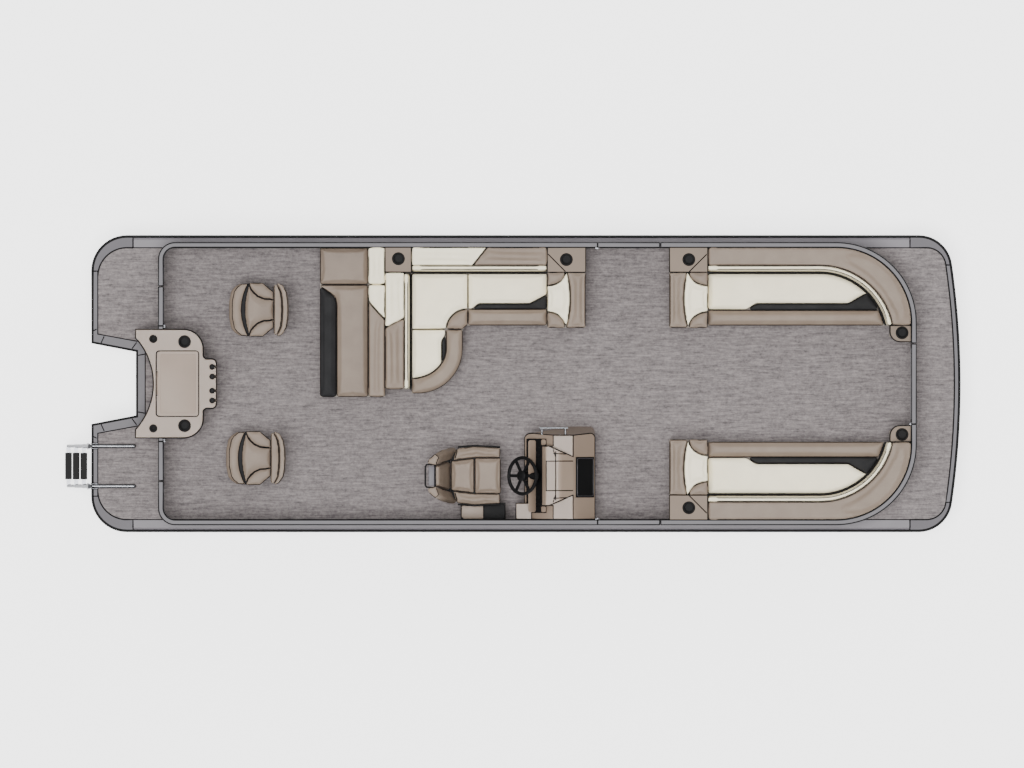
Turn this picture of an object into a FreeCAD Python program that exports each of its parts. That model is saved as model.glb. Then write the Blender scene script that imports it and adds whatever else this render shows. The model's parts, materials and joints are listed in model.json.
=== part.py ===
import FreeCAD, Part
import math
import os
import re
import Sketcher

# Pontoon boat, 25 ft deck on two tubes, millimetres.
# X points to the bow, Y to port and Z up, with Z = 0 under the keels.

V = FreeCAD.Vector
doc = FreeCAD.newDocument("PontoonBoat")
sheet = doc.addObject("Spreadsheet::Sheet", "Sizes")

# Driving sizes, each with what it measures
SIZES = [
    ("beam", 2590, "over the rub rails"),
    ("deck_aft", 3689, "centre to the stern edge"),
    ("deck_fore", 3934, "centre to the tip of the bow edge"),
    ("bow_radius", 7290, "sweep of the bow edge"),
    ("bow_cap_width", 252, "bow caps, inboard from the beam edge"),
    ("bow_cap_length", 436, "bow caps, aft from the bow's tip"),
    ("stern_radius", 304, "round of the stern corners"),
    ("stern_cap_length", 358, "stern caps, forward from the stern edge"),
    ("cap_gap", 2, "round of a stern corner to the stern trim"),
    ("tube_dia", 635, "25 inch flotation tube"),
    ("tube_inset", 370, "tube axis from the beam edge"),
    ("tube_short", 129, "stern edge beyond the tubes"),
    ("nose_short", 114, "bow's tip beyond the tubes' noses"),
    ("nose_length", 1120, "nose cone"),
    ("nose_lift", 22, "rise of the nose's top line"),
    ("strake_depth", 62, "lifting strake off the tube wall"),
    ("keel_height", 25, "keel bar below the tube"),
    ("keel_width", 26, "keel bar"),
    ("keel_bite", 5, "keel bar into the tube"),
    ("keel_start", 60, "tube's end to the keel bar"),
    ("strake_start", 300, "tube's end to the strakes"),
    ("eye_radius", 11, "bow eye hole"),
    ("eye_plate", 12, "bow eye thickness"),
    ("eye_length", 72, "bow eye plate"),
    ("eye_half", 28, "half the bow eye plate's height"),
    ("eye_round", 24, "bow eye plate's corners"),
    ("eye_bite", 15, "bow eye plate into the nose"),
    ("eye_reach", 44, "bow eye's hole from the plate's root"),
    ("eye_drop", 62, "bow eye below the nose's top line"),
    ("riser_height", 30, "tube top to cross member"),
    ("riser_foot", 300, "riser width on the tube"),
    ("riser_head", 190, "riser width under the members"),
    ("riser_wall", 8, "riser top web"),
    ("riser_start", 80, "tube's end to the riser"),
    ("riser_lead", 320, "riser beyond the nose's root"),
    ("member_height", 100, "cross member depth"),
    ("member_width", 45, "cross member flange"),
    ("member_wall", 5, "cross member metal"),
    ("member_stern", 509, "stern edge to the aft full cross member"),
    ("member_bow", 714, "bow's tip to the last full cross member"),
    ("bow_member_aft", 384, "bow's tip to the first short cross member"),
    ("bow_member_fore", 146, "bow's tip to the second short cross member"),
    ("bow_member_step", 80, "short cross members beyond or within the caps"),
    ("stern_member", 30, "tube's end to the stern cross members"),
    ("member_gap", 60, "stern cross members to the skirt"),
    ("member_count", 17, "full width cross members"),
    ("pod_width", 600, "motor pod"),
    ("pod_bottom", 330, "underside of the motor pod"),
    ("pod_keel_length", 1359, "stern edge to where the pod turns up"),
    ("pod_length", 1929, "stern edge to the pod's forward end"),
    ("pod_turn", 250, "round where the pod turns up"),
    ("pod_step", 60, "pod's forward end, depth"),
    ("pod_bilge", 60, "round of the pod's lower edges"),
    ("pod_gap", 6, "pod's transom to the notch trim"),
    ("transom_top", 790, "top of the transom"),
    ("transom_thick", 52, "transom slab"),
    ("transom_lean", 12, "degrees off upright"),
    ("bolt_radius", 6.5, "motor bolt hole"),
    ("bolt_top_span", 327, "upper motor bolts apart"),
    ("bolt_low_span", 250.8, "lower motor bolts apart"),
    ("bolt_drop", 203.2, "upper to lower motor bolts"),
    ("bolt_edge", 95, "upper bolts below the transom top"),
    ("bolt_over", 30, "bolt drill beyond the transom"),
    ("deck_thick", 22, "plywood and vinyl"),
    ("trim_rise", 3, "edge trim above the deck"),
    ("trim_depth", 80, "edge trim top to skirt foot"),
    ("trim_web", 25, "edge trim top web"),
    ("skirt_thick", 26, "edge trim skirt"),
    ("lip_height", 12, "side trims' straight lips, top and foot"),
    ("bumper_edge", 20, "side trims' top or foot to the bumper's flat"),
    ("bumper_round", 9, "side trims' bumper edges"),
    ("trim_corner", 6, "side trims' top edge"),
    ("deck_bow_round", 170, "deck's bow corners"),
    ("bow_corner_round", 285, "bow caps' outer corners"),
    ("bow_skirt_round", 258, "bow caps' skirts, inner corners"),
    ("side_trim", 100, "side trim width"),
    ("bead_reach", 24, "rub rail bead beyond the skirt"),
    ("stern_trim", 48, "stern trim width"),
    ("bow_trim", 45, "bow trim width"),
    ("notch_mouth", 720, "motor notch at the stern edge"),
    ("notch_width", 571, "motor notch at its forward edge"),
    ("notch_depth", 391, "motor notch fore and aft"),
    ("notch_trim", 74, "trim round the notch"),
    ("notch_flare", 76, "trim width where the notch meets the stern"),
    ("fence_inset", 60, "fence face from the beam edge"),
    ("fence_thick", 40, "fence rails"),
    ("fence_gap", 50, "trim to the bottom rail"),
    ("fence_height", 710, "deck to the top of the rail"),
    ("rail_height", 34, "fence rail tube"),
    ("skin_thick", 15, "fence skin"),
    ("post_width", 40, "fence post"),
    ("post_under", 1, "fence posts' ends within the top rail"),
    ("aft_bays", 5, "bays of the side fences, side gate to the stern curve"),
    ("bow_bays", 2, "bays of the bow fences, side gate to the bow curve"),
    ("stern_porch", 593, "stern edge to the stern fence face"),
    ("stern_fence_radius", 145, "stern corner of the fence"),
    ("bow_porch", 393, "bow's tip to the bow fence face"),
    ("bow_fence_radius", 700, "bow corner of the fence"),
    ("side_gate_aft", 747, "aft post of the side gates"),
    ("side_gate_width", 558, "side gate opening"),
    ("stern_gate_gap", 28, "station to the stern gates' opening"),
    ("stern_gate_width", 356, "stern gate opening"),
    ("table_width", 142, "corner cup tables across"),
    ("hinge_gap", 6, "gate to its hinge post"),
    ("latch_gap", 12, "gate to its latch post"),
    ("barrel_radius", 8, "hinge barrel"),
    ("barrel_length", 36, "one knuckle of the barrel"),
    ("barrel_offset", 11, "hinge axis off the fence's inner face"),
    ("barrel_split", 0.4, "between the knuckles"),
    ("leaf_reach", 14, "hinge leaves past the gate's gap"),
    ("bow_leaf_reach", 5, "bow gate's fixed hinge leaves"),
    ("pin_radius", 4, "hinge pin"),
    ("pin_play", 0.3, "pin in the moving knuckle"),
    ("hinge_low", 150, "lower hinge above the deck"),
    ("hinge_high", 560, "upper hinge above the deck"),
    ("seat_base", 318, "lounge base above the deck"),
    ("toe_height", 70, "toe recess height"),
    ("toe_depth", 45, "toe recess depth"),
    ("seat_pad", 112, "seat cushion"),
    ("back_top", 750, "backrests above the deck"),
    ("pod_top", 700, "cup pods above the deck"),
    ("soft_gap", 0.4, "between cushions"),
    ("lounge_depth", 683, "lounges, wall to inboard edge"),
    ("arm_depth", 703, "lounge arms, wall to inboard edge"),
    ("pod_depth", 216, "cup pods, wall to inboard edge"),
    ("back_depth", 224, "lounge backs, wall to their foot"),
    ("roll_depth", 159, "lounge backs, wall to their face at the top"),
    ("arm_gate_gap", 75, "side gate to the bow arms"),
    ("bow_arm_length", 334, "bow arms fore and aft"),
    ("bow_back_lead", 844, "bow fence to where the bow backs curve"),
    ("bow_back_radius", 648, "curve of the bow backs' face"),
    ("table_length", 185, "corner cup tables fore and aft"),
    ("table_round", 88, "corner cup tables' free corner"),
    ("wall_gap", 2, "furniture to the fence"),
    ("gate_side_gap", 10, "furniture beside the bow gate's opening"),
    ("table_top", 560, "corner cup tables above the deck"),
    ("cup_radius", 45, "cup well"),
    ("cup_depth", 85, "cup well"),
    ("arm_cup_in", 169, "bow arm's aft face to its cup"),
    ("arm_cup_wall", 106, "wall to the arm cups"),
    ("table_cup_in", 105, "corner table's aft edge to its cup"),
    ("table_cup_gate", 78, "corner table's gate side to its cup"),
    ("chair_bay", 1478, "tool rack to the port lounge's aft face"),
    ("lounge_back_depth", 230, "port lounge's aft back, at its foot"),
    ("lounge_leg_depth", 681, "port lounge's aft leg with its back"),
    ("lounge_side_fore", 310, "port lounge's side seat, its end"),
    ("lounge_arm_length", 335, "port lounge's forward arm"),
    ("lounge_seam_step", 44, "leg's front to the side cushion"),
    ("leg_seam_step", 34, "lounge's inboard edge to the leg cushion"),
    ("lounge_leg_end", 87, "leg beyond the centre line"),
    ("lounge_leg_radius", 394, "round end of the leg"),
    ("lounge_back_end", 50, "aft back beyond the centre line"),
    ("corner_cup_in", 117, "port lounge's aft face to the corner cup"),
    ("corner_cup_wall", 99, "wall to the corner cup"),
    ("forward_cup_in", 166, "forward arm's aft face to its cup"),
    ("bench_depth", 572, "aft bench with its back"),
    ("bench_back", 146, "aft bench back thickness"),
    ("bench_end", 117, "aft bench beyond the centre line"),
    ("bench_outboard", 326, "wall to the aft bench's seam"),
    ("console_aft", 111, "console's aft face"),
    ("console_length", 615, "console fore and aft"),
    ("console_slope", 191, "console's forward slope"),
    ("console_width", 810, "console across"),
    ("console_round", 45, "console's inboard corners"),
    ("console_lean", 75, "inboard side's top edge outboard of its foot"),
    ("console_taper", 69, "inboard side's foot, outboard at the aft end"),
    ("taper_length", 386, "console's tapered foot, fore and aft"),
    ("cut_over", 5, "cuts beyond the faces that they open"),
    ("console_gap", 6, "wall to the console"),
    ("console_knee", 540, "console's aft face above the deck"),
    ("console_top", 790, "console top above the deck"),
    ("console_brow", 560, "foot of the forward slope above the deck"),
    ("dash_step", 25, "console's aft face to the dash"),
    ("dash_half", 325, "half the dash width"),
    ("dash_depth", 14, "dash bezel off the console"),
    ("side_pod_reach", 76, "side pod aft of the console"),
    ("side_pod_bite", 60, "side pod into the console"),
    ("side_pod_width", 138, "side pod across"),
    ("side_pod_top", 640, "side pod above the deck"),
    ("cowl_step", 153, "console's aft face to the instrument cowl"),
    ("cowl_half", 260, "half the cowl's aft width"),
    ("cowl_tip_half", 165, "half the cowl's forward width"),
    ("cowl_rise", 96, "cowl above the console top"),
    ("cowl_foot", 40, "cowl's aft face at the console's slope"),
    ("cowl_lip", 30, "cowl's aft face at its top"),
    ("cowl_lip_round", 16, "cowl's aft top edge"),
    ("cowl_face", 0.4, "height of the cowl's aft edge in its rise"),
    ("cowl_fall", 110, "cowl's forward slope"),
    ("cowl_fall_round", 60, "top of the cowl's forward slope"),
    ("cowl_flare", 60, "cowl's aft face to where it narrows"),
    ("dash_under", 38, "dash's top end under the cowl"),
    ("panel_start", 0.12, "start of the console's front panel on its slope"),
    ("panel_end", 0.94, "end of the console's front panel on its slope"),
    ("panel_thick", 6, "console's front panel"),
    ("panel_outer", 190, "helm to the front panel's outboard side"),
    ("panel_width", 355, "console's front panel across"),
    ("helm_inset", 380, "helm from the console's outboard side"),
    ("wheel_step", 19, "wheel hub aft of the console's face"),
    ("wheel_level", 800, "wheel hub above the deck"),
    ("wheel_tilt", 41, "wheel plane off level, in degrees"),
    ("wheel_radius", 157, "wheel rim centre line"),
    ("wheel_rim", 14, "rim section radius"),
    ("wheel_hub", 42, "hub radius"),
    ("wheel_hub_depth", 34, "hub"),
    ("wheel_spokes", 6, "spokes"),
    ("spoke_width", 26, "spoke"),
    ("spoke_thick", 9, "spoke"),
    ("column_radius", 30, "steering column"),
    ("column_length", 250, "column from hub to dash"),
    ("column_gap", 1, "hub to column"),
    ("rail_tube", 10, "console grab rail radius"),
    ("rail_post", 8, "grab rail's posts, radius"),
    ("rail_start", 129, "console's aft face to the grab rail"),
    ("rail_length", 250, "grab rail"),
    ("rail_end", 22, "grab rail's ends beyond its posts"),
    ("rail_drop", 45, "grab rail below the console top"),
    ("rail_step", 11, "grab rail outboard of the console's foot"),
    ("rail_seat", 0.3, "grab rail's posts to the console"),
    ("side_box_aft", 449, "side box, aft end"),
    ("side_box_fore", 60, "side box, forward end"),
    ("side_box_width", 143, "side box, wall to inboard side"),
    ("side_box_height", 325, "side box"),
    ("helm_axis", 350, "helm chair post, aft of the centre"),
    ("helm_front", 93, "helm seat front"),
    ("helm_seat_aft", 535, "helm seat back end"),
    ("helm_seat_half", 232, "half the helm seat width"),
    ("helm_arm_half", 262, "half the width over the bolsters"),
    ("helm_seat_low", 365, "helm seat underside above the deck"),
    ("helm_seat_thick", 135, "helm seat cushion"),
    ("helm_back_top", 960, "helm back above the deck"),
    ("helm_back_lean", 180, "helm back leans aft by"),
    ("helm_back_thick", 120, "helm back"),
    ("helm_wing", 118, "helm wing bolsters"),
    ("helm_seat_taper", 30, "helm seat narrower at its back end, each side"),
    ("helm_seat_bend", 20, "helm seat's widest line, forward of the post"),
    ("helm_seat_round", 30, "helm seat's front corners"),
    ("bolster_width", 70, "helm seat bolsters across"),
    ("bolster_edge", 4, "bolsters in from the seat's side"),
    ("bolster_end", 6, "bolsters in from the seat's front"),
    ("bolster_rise", 46, "bolsters above the seat pad"),
    ("helm_back_foot", 20, "helm back's foot above the seat's underside"),
    ("helm_waist", 340, "helm back's foot to its waist"),
    ("helm_waist_reach", 35, "helm back's rear at the waist, aft of its foot"),
    ("helm_head_fore", 80, "head's front, forward of the lean"),
    ("helm_head_top", 10, "head's top edge, aft of the lean"),
    ("helm_head_rear", 47, "head's rear, aft of the lean"),
    ("helm_head_drop", 90, "head's rear below its top"),
    ("helm_head_round", 30, "head's front edge"),
    ("helm_crown_round", 22, "head's top edge at the rear"),
    ("wing_foot", 20, "wings' front in from the seat's half width"),
    ("wing_side", 26, "wings' side in from the seat's half width"),
    ("wing_tip", 16, "wings' tips, narrower than their depth"),
    ("post_radius", 44, "helm pedestal"),
    ("foot_radius", 165, "helm pedestal foot"),
    ("foot_thick", 14, "pedestal feet"),
    ("foot_edge", 0.6, "height of a foot's edge in its thickness"),
    ("foot_crown", 8, "foot's middle above its edge plate"),
    ("foot_collar", 12, "foot's collar beyond the post"),
    ("collar_height", 30, "collar above the foot"),
    ("plate_reach", 42, "swivel plate beyond the post"),
    ("plate_edge", 12, "swivel plate's rim"),
    ("plate_depth", 34, "swivel plate with its cone"),
    ("swivel_gap", 0.5, "seat over its pedestal"),
    ("port_chair_bay", 368, "tool rack to the port chair's post"),
    ("port_chair_wall", 545, "furniture's line to the port chair's post"),
    ("starboard_chair_bay", 342, "tool rack to the starboard chair's post"),
    ("starboard_chair_wall", 540, "furniture's line to the starboard chair's post"),
    ("chair_front", 266, "chair post to the seat's front"),
    ("chair_seat_back", 133, "chair post to the seat's back"),
    ("chair_back", 266, "chair post to the backrest's rear"),
    ("chair_half", 237, "half the chair width"),
    ("chair_taper", 158, "half the seat width at its back"),
    ("chair_waist", 37, "chair post to where the seat narrows"),
    ("chair_nose", 26, "seat's front corners, aft of its front"),
    ("chair_nose_share", 0.45, "share of the half width that the front is straight"),
    ("chair_side_round", 85, "seat's corners at its sides"),
    ("chair_nose_round", 120, "seat's corners at its front"),
    ("chair_back_round", 30, "backrest's corners at the seat"),
    ("chair_back_corner", 90, "backrest's rear corners"),
    ("chair_back_low", 30, "backrest's foot above the seat's underside"),
    ("chair_low", 340, "chair seat underside above the deck"),
    ("chair_pad", 120, "chair seat cushion"),
    ("chair_top", 800, "chair back above the deck"),
    ("chair_post", 36, "chair post radius"),
    ("chair_foot", 120, "chair foot radius"),
    ("station_half", 475, "half the stern station"),
    ("station_depth", 593, "stern station fore and aft"),
    ("rack_reach", 115, "tool rack forward of the station"),
    ("station_nose_half", 216, "half the tool rack"),
    ("station_bay", 156, "depth of the station's curved aft face"),
    ("station_height", 720, "stern station above the deck"),
    ("station_radius", 172, "station's forward corners"),
    ("station_horn", 73, "station's aft corners beside the bay"),
    ("station_foot_side", 70, "station's foot in from its sides"),
    ("station_foot_gap", 20, "bay's deepest point to the station's foot"),
    ("rack_root_round", 34, "tool rack's inner corners"),
    ("rack_corner_round", 38, "tool rack's outer corners"),
    ("rack_hole_in", 36, "tool rack's forward edge to its holes"),
    ("rack_mouth", 14, "mouths of the tool holes"),
    ("lid_step", 199, "station's aft edge to the lid"),
    ("lid_length", 350, "station lid fore and aft"),
    ("lid_cup_gap", 41, "lid to the station's cups"),
    ("lid_thick", 20, "station lid"),
    ("lid_hinge_radius", 6, "lid hinge barrel"),
    ("lid_hinge_gap", 1, "hinge barrel clear of the lid and the station"),
    ("lid_barrel", 120, "lid's hinge barrel"),
    ("lid_ear", 40, "station's hinge barrels"),
    ("lid_ear_gap", 0.4, "between the hinge barrels"),
    ("lid_round", 20, "lid's corners"),
    ("lid_leaf_low", 3, "hinge leaf above the station"),
    ("lid_leaf_thick", 8, "hinge leaf"),
    ("lid_leaf_in", 10, "hinge leaf into the lid"),
    ("well_wall", 26, "lid edge to the well"),
    ("well_depth", 330, "station well"),
    ("station_cup_in", 163, "station's forward face to its cups"),
    ("station_cup_edge", 107, "station's side to its cups"),
    ("small_cup", 25, "small cup well radius"),
    ("small_cup_depth", 59.5, "small cup well"),
    ("small_cup_in", 156, "station's aft edge to the small cups"),
    ("small_cup_edge", 83, "station's side to the small cups"),
    ("rack_slot", 19, "tool rack hole radius"),
    ("rack_inner", 62, "inner tool holes off the centre line"),
    ("rack_outer", 147, "outer tool holes off the centre line"),
    ("rack_depth", 180, "tool holes"),
    ("ladder_side", 725, "ladder off the centre line"),
    ("ladder_half", 176, "half the ladder, rail to rail"),
    ("ladder_overhang", 27, "ladder hinge beyond the stern edge"),
    ("ladder_lean", 20, "ladder off upright, in degrees"),
    ("ladder_first", 142, "hinge to the first tread"),
    ("ladder_pitch", 208, "tread to tread"),
    ("ladder_tube", 19, "upper ladder tube radius"),
    ("tube_step", 3, "each lower ladder tube thinner by"),
    ("ladder_sleeve", 20, "ladder tubes below their treads"),
    ("ladder_tail", 16, "ladder's feet below the last tread"),
    ("ladder_pin", 6, "ladder's hinge pins, radius"),
    ("ladder_pin_play", 0.4, "hinge pins in the ladder"),
    ("hinge_rise", 6, "ladder's hinge above its deck rails"),
    ("ear_length", 46, "hinge blocks on the stern edge"),
    ("ear_side", 8, "hinge blocks wider than the rails, each side"),
    ("ear_step", 10, "hinge ears above the rails at their forward end"),
    ("ear_reach", 18, "hinge ears round the pin"),
    ("ear_top_round", 14, "hinge ears' forward top corner"),
    ("ear_round", 16, "hinge ears' aft corners"),
    ("ear_thick", 6, "hinge ears"),
    ("rung_half", 18, "half a rung fore and aft"),
    ("rung_depth", 10, "rung"),
    ("rung_rise", 1, "rung's top above its tread line"),
    ("tread_depth", 60, "ladder tread"),
    ("tread_thick", 22, "ladder tread"),
    ("tread_half", 117, "half the tread width"),
    ("grab_length", 385, "ladder's deck rails over the stern deck"),
    ("grab_rise", 44, "deck rails above the trim"),
    ("grab_post", 13, "deck rails' posts, radius"),
    ("grab_post_fore", 70, "deck rails' forward end to their forward posts"),
    ("grab_post_aft", 230, "stern edge to the deck rails' aft posts"),
]

# Places that follow from the sizes, each with what it is
TIED = [
    ("bow_cap_half", "beam / 2 - bow_cap_width", "half width of the bow edge between its caps"),
    ("bow_cap_aft", "deck_fore - bow_cap_length", "where the bow caps meet the side trims"),
    ("stern_cap_fore", "deck_aft - stern_cap_length", "where the stern caps meet the side trims"),
    ("tube_centre", "beam / 2 - tube_inset", "tube axis from the centre line"),
    ("tube_aft", "deck_aft - tube_short", "centre to the stern end of the tube"),
    ("tube_straight", "deck_fore - nose_short - nose_length", "centre to the nose cone's root"),
    ("member_first", "deck_aft - member_stern", "centre to the aft full cross member"),
    ("member_row", "member_first + deck_fore - member_bow", "row of full cross members"),
    ("pod_keel_fore", "deck_aft - pod_keel_length", "centre to where the pod turns up"),
    ("pod_fore", "deck_aft - pod_length", "centre to the pod's forward end"),
    ("stern_fence", "deck_aft - stern_porch", "centre to the stern fence face"),
    ("bow_fence", "deck_fore - bow_porch", "centre to the bow fence face"),
    ("stern_gate_start", "station_half + stern_gate_gap", "inboard post of the stern gates"),
    ("lounge_wall", "beam / 2 - fence_inset - fence_thick - wall_gap", "furniture's outboard line"),
    ("lounge_front", "lounge_wall - lounge_depth", "lounges' inboard edge"),
    ("arm_front", "lounge_wall - arm_depth", "lounge arms' inboard edge"),
    ("pod_front", "lounge_wall - pod_depth", "cup pods' inboard edge"),
    ("back_front", "lounge_wall - back_depth", "lounge backs' foot"),
    ("back_face", "lounge_wall - roll_depth", "lounge backs' face"),
    ("bow_arm_aft", "side_gate_aft + side_gate_width + arm_gate_gap", "bow arms' aft face"),
    ("bow_back_start", "bow_fence - bow_back_lead", "where the bow backs start to curve"),
    ("bow_wall", "bow_fence - fence_thick - wall_gap", "furniture's line at the bow"),
    ("bow_table_aft", "bow_wall - table_length", "corner cup tables' aft edge"),
    ("bow_table_side", "lounge_front - table_width", "corner cup tables' gate side"),
    ("bow_gate_half", "bow_table_side - gate_side_gap", "half the bow gate opening"),
    ("bow_arm_cup", "bow_arm_aft + arm_cup_in", "bow arm cup, fore and aft"),
    ("arm_cup_side", "lounge_wall - arm_cup_wall", "arm cups off the centre line"),
    ("table_cup", "bow_table_aft + table_cup_in", "corner table cup, fore and aft"),
    ("table_cup_side", "bow_table_side + table_cup_gate", "corner table cup off the centre line"),
    ("station_aft", "deck_aft - notch_depth", "stern station's aft edge"),
    ("station_fore", "station_aft - station_depth", "stern station's forward face"),
    ("station_nose", "station_fore - rack_reach", "tool rack's face"),
    ("lounge_aft", "station_nose - chair_bay", "port lounge's aft face"),
    ("port_chair", "station_nose - port_chair_bay", "port chair, aft of the centre"),
    ("port_chair_side", "lounge_wall - port_chair_wall", "port chair off the centre line"),
    ("starboard_chair", "station_nose - starboard_chair_bay", "starboard chair, aft of the centre"),
    ("starboard_chair_side", "lounge_wall - starboard_chair_wall", "starboard chair's offset"),
    ("lounge_back_fore", "lounge_aft - lounge_back_depth", "foot of the port lounge's aft back"),
    ("lounge_leg_fore", "lounge_aft - lounge_leg_depth", "front of the port lounge's aft leg"),
    ("lounge_seam", "lounge_leg_fore - lounge_seam_step", "corner cushion to side cushion"),
    ("lounge_leg_seam", "lounge_front - leg_seam_step", "corner cushion to leg cushion"),
    ("lounge_cup", "lounge_aft - corner_cup_in", "corner cup, fore and aft"),
    ("lounge_cup_side", "lounge_wall - corner_cup_wall", "corner cup off the centre line"),
    ("forward_cup", "lounge_side_fore + forward_cup_in", "forward arm cup, fore and aft"),
    ("bench_aft", "lounge_aft + bench_depth", "aft bench's front edge"),
    ("bench_split", "lounge_wall - bench_outboard", "aft bench's seam off the centre line"),
    ("console_fore", "console_aft + console_length", "console's forward face"),
    ("console_break", "console_fore - console_slope", "top edge of the forward slope"),
    ("console_outer", "lounge_wall - console_gap", "console's outboard side"),
    ("console_inner", "console_outer - console_width", "console's inboard side"),
    ("dash_aft", "console_aft + dash_step", "aft edge of the dash"),
    ("side_pod_aft", "console_aft - side_pod_reach", "aft face of the side pod"),
    ("side_pod_inner", "console_outer - side_pod_width", "inboard side of the side pod"),
    ("cowl_aft", "console_aft + cowl_step", "aft edge of the instrument cowl"),
    ("helm_side", "console_outer - helm_inset", "helm off the centre line"),
    ("wheel_centre", "console_aft - wheel_step", "wheel hub, fore and aft"),
    ("side_box_inner", "lounge_wall - side_box_width", "side box's inboard side"),
    ("lid_aft", "station_aft - lid_step", "station lid's aft edge"),
    ("station_cup_aft", "station_fore + station_cup_in", "station cups, fore and aft"),
    ("station_cup_side", "station_half - station_cup_edge", "station cups off the centre line"),
    ("lid_half", "station_cup_side - cup_radius - lid_cup_gap", "half the station lid"),
    ("small_cup_aft", "station_aft - small_cup_in", "small cups, fore and aft"),
    ("small_cup_side", "station_half - small_cup_edge", "small cups off the centre line"),
    ("ladder_hinge", "deck_aft + ladder_overhang", "ladder hinge, aft of the centre"),
    ("grab_fore", "deck_aft - grab_length", "forward end of the ladder's deck rails"),
]

rows = [(alias, str(value), meaning) for alias, value, meaning in SIZES]
rows += [(alias, f"={formula}", meaning) for alias, formula, meaning in TIED]
for row, (alias, content, meaning) in enumerate(rows, start=1):
    sheet.set(f"A{row}", alias)
    sheet.setAlias(f"B{row}", alias)
    sheet.set(f"B{row}", content)
    sheet.set(f"C{row}", meaning)
sheet.recompute()
ALIASES = {alias for alias, _, _ in rows}


# Expressions that read the sheet

def linked(expression):
    """Point each size that an expression names at its cell."""
    def cell(word):
        return f"Sizes.{word[0]}" if word[0] in ALIASES else word[0]
    return re.sub(r"[a-z_]+", cell, str(expression))


def size(expression):
    """The value of an expression, in millimetres or degrees."""
    return float(sheet.evalExpression(linked(expression)))


def bind(thing, prop, expression):
    """Tie a property of an object to an expression of the sizes."""
    thing.setExpression(prop, linked(expression))


# Sketches

def plane_sketch(body, plane, level):
    """A sketch on one of the body's origin planes, moved along the plane's normal."""
    sketch = body.newObject("Sketcher::SketchObject", f"{body.Name}_sketch")
    features = body.Origin.OriginFeatures
    sketch.AttachmentSupport = [(next(f for f in features if f.Role == plane), "")]
    sketch.MapMode = "FlatFace"
    away = "-1" if plane == "XZ_Plane" else "1"
    bind(sketch, "AttachmentOffset.Base.z", f"{away} * ({level})")
    return sketch


def spot_rules(geometry, end, corner):
    """Constraints that hold a point at a corner's two coordinates."""
    rules = []
    for kind, text in (("DistanceX", corner[0]), ("DistanceY", corner[1])):
        rule = Sketcher.Constraint(kind, -1, 1, geometry, end, size(text))
        rules.append((rule, text))
    return rules


def side_shape(start, finish, sweep):
    """A straight side, or an arc of radius sweep bulging right of travel, left if negative."""
    if sweep == 0:
        return Part.LineSegment(start, finish), False
    chord = finish - start
    left = V(-chord.y, chord.x, 0).normalize()
    reach = math.sqrt(sweep * sweep - chord.Length * chord.Length / 4)
    centre = (start + finish) * 0.5 + left * (reach if sweep > 0 else -reach)
    first, last = (start, finish) if sweep > 0 else (finish, start)
    angles = [math.atan2(p.y - centre.y, p.x - centre.x) for p in (first, last)]
    return Part.ArcOfCircle(Part.Circle(centre, V(0, 0, 1), abs(sweep)), *angles), sweep < 0


def outline(sketch, corners):
    """Draw a closed loop. A corner is (x, y), (x, y, round) or (x, y, 0, sweep of its side)."""
    count = len(corners)
    spots = [V(size(c[0]), size(c[1]), 0) for c in corners]
    rounds = [size(c[2]) if len(c) > 2 else 0 for c in corners]
    sweeps = [size(c[3]) if len(c) > 3 else 0 for c in corners]
    ways = [(spots[(i + 1) % count] - spots[i]).normalize() for i in range(count)]
    turns = [ways[i - 1].cross(ways[i]).z for i in range(count)]
    trims = []
    for i in range(count):
        angle = ways[i - 1].getAngle(ways[i])
        trims.append(rounds[i] * math.tan(angle / 2) if rounds[i] else 0)
    rules = []
    sides = []
    for i in range(count):
        start = spots[i] + ways[i] * trims[i]
        finish = spots[(i + 1) % count] - ways[i] * trims[(i + 1) % count]
        shape, swapped = side_shape(start, finish, sweeps[i])
        number = sketch.addGeometry(shape, False)
        if sweeps[i]:
            radius = str(corners[i][3]).lstrip("-")
            rules.append((Sketcher.Constraint("Radius", number, abs(sweeps[i])), radius))
        sides.append((number, 2, 1) if swapped else (number, 1, 2))
    for i in range(count):
        side, begin, _ = sides[i]
        before, _, end = sides[i - 1]
        if not rounds[i]:
            rules += spot_rules(side, begin, corners[i])
            rules.append((Sketcher.Constraint("Coincident", before, end, side, begin), None))
            continue
        left = turns[i] > 0
        arrive = spots[i] - ways[i - 1] * trims[i]
        leave = spots[i] + ways[i] * trims[i]
        inward = V(-ways[i - 1].y, ways[i - 1].x, 0) * (rounds[i] if left else -rounds[i])
        centre = arrive + inward
        first, last = (arrive, leave) if left else (leave, arrive)
        angles = [math.atan2(p.y - centre.y, p.x - centre.x) for p in (first, last)]
        circle = Part.Circle(centre, V(0, 0, 1), rounds[i])
        arc = sketch.addGeometry(Part.ArcOfCircle(circle, *angles), False)
        near, far = (1, 2) if left else (2, 1)
        vertex = sketch.addGeometry(Part.Point(spots[i]), True)
        rules += spot_rules(vertex, 1, corners[i])
        rules.append((Sketcher.Constraint("PointOnObject", vertex, 1, before), None))
        rules.append((Sketcher.Constraint("PointOnObject", vertex, 1, side), None))
        rules.append((Sketcher.Constraint("Tangent", before, end, arc, near), None))
        rules.append((Sketcher.Constraint("Tangent", side, begin, arc, far), None))
        rules.append((Sketcher.Constraint("Radius", arc, rounds[i]), corners[i][2]))
    numbers = sketch.addConstraint([rule for rule, _ in rules])
    for number, (_, text) in zip(numbers, rules):
        if text is not None:
            bind(sketch, f"Constraints[{number}]", text)


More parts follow.
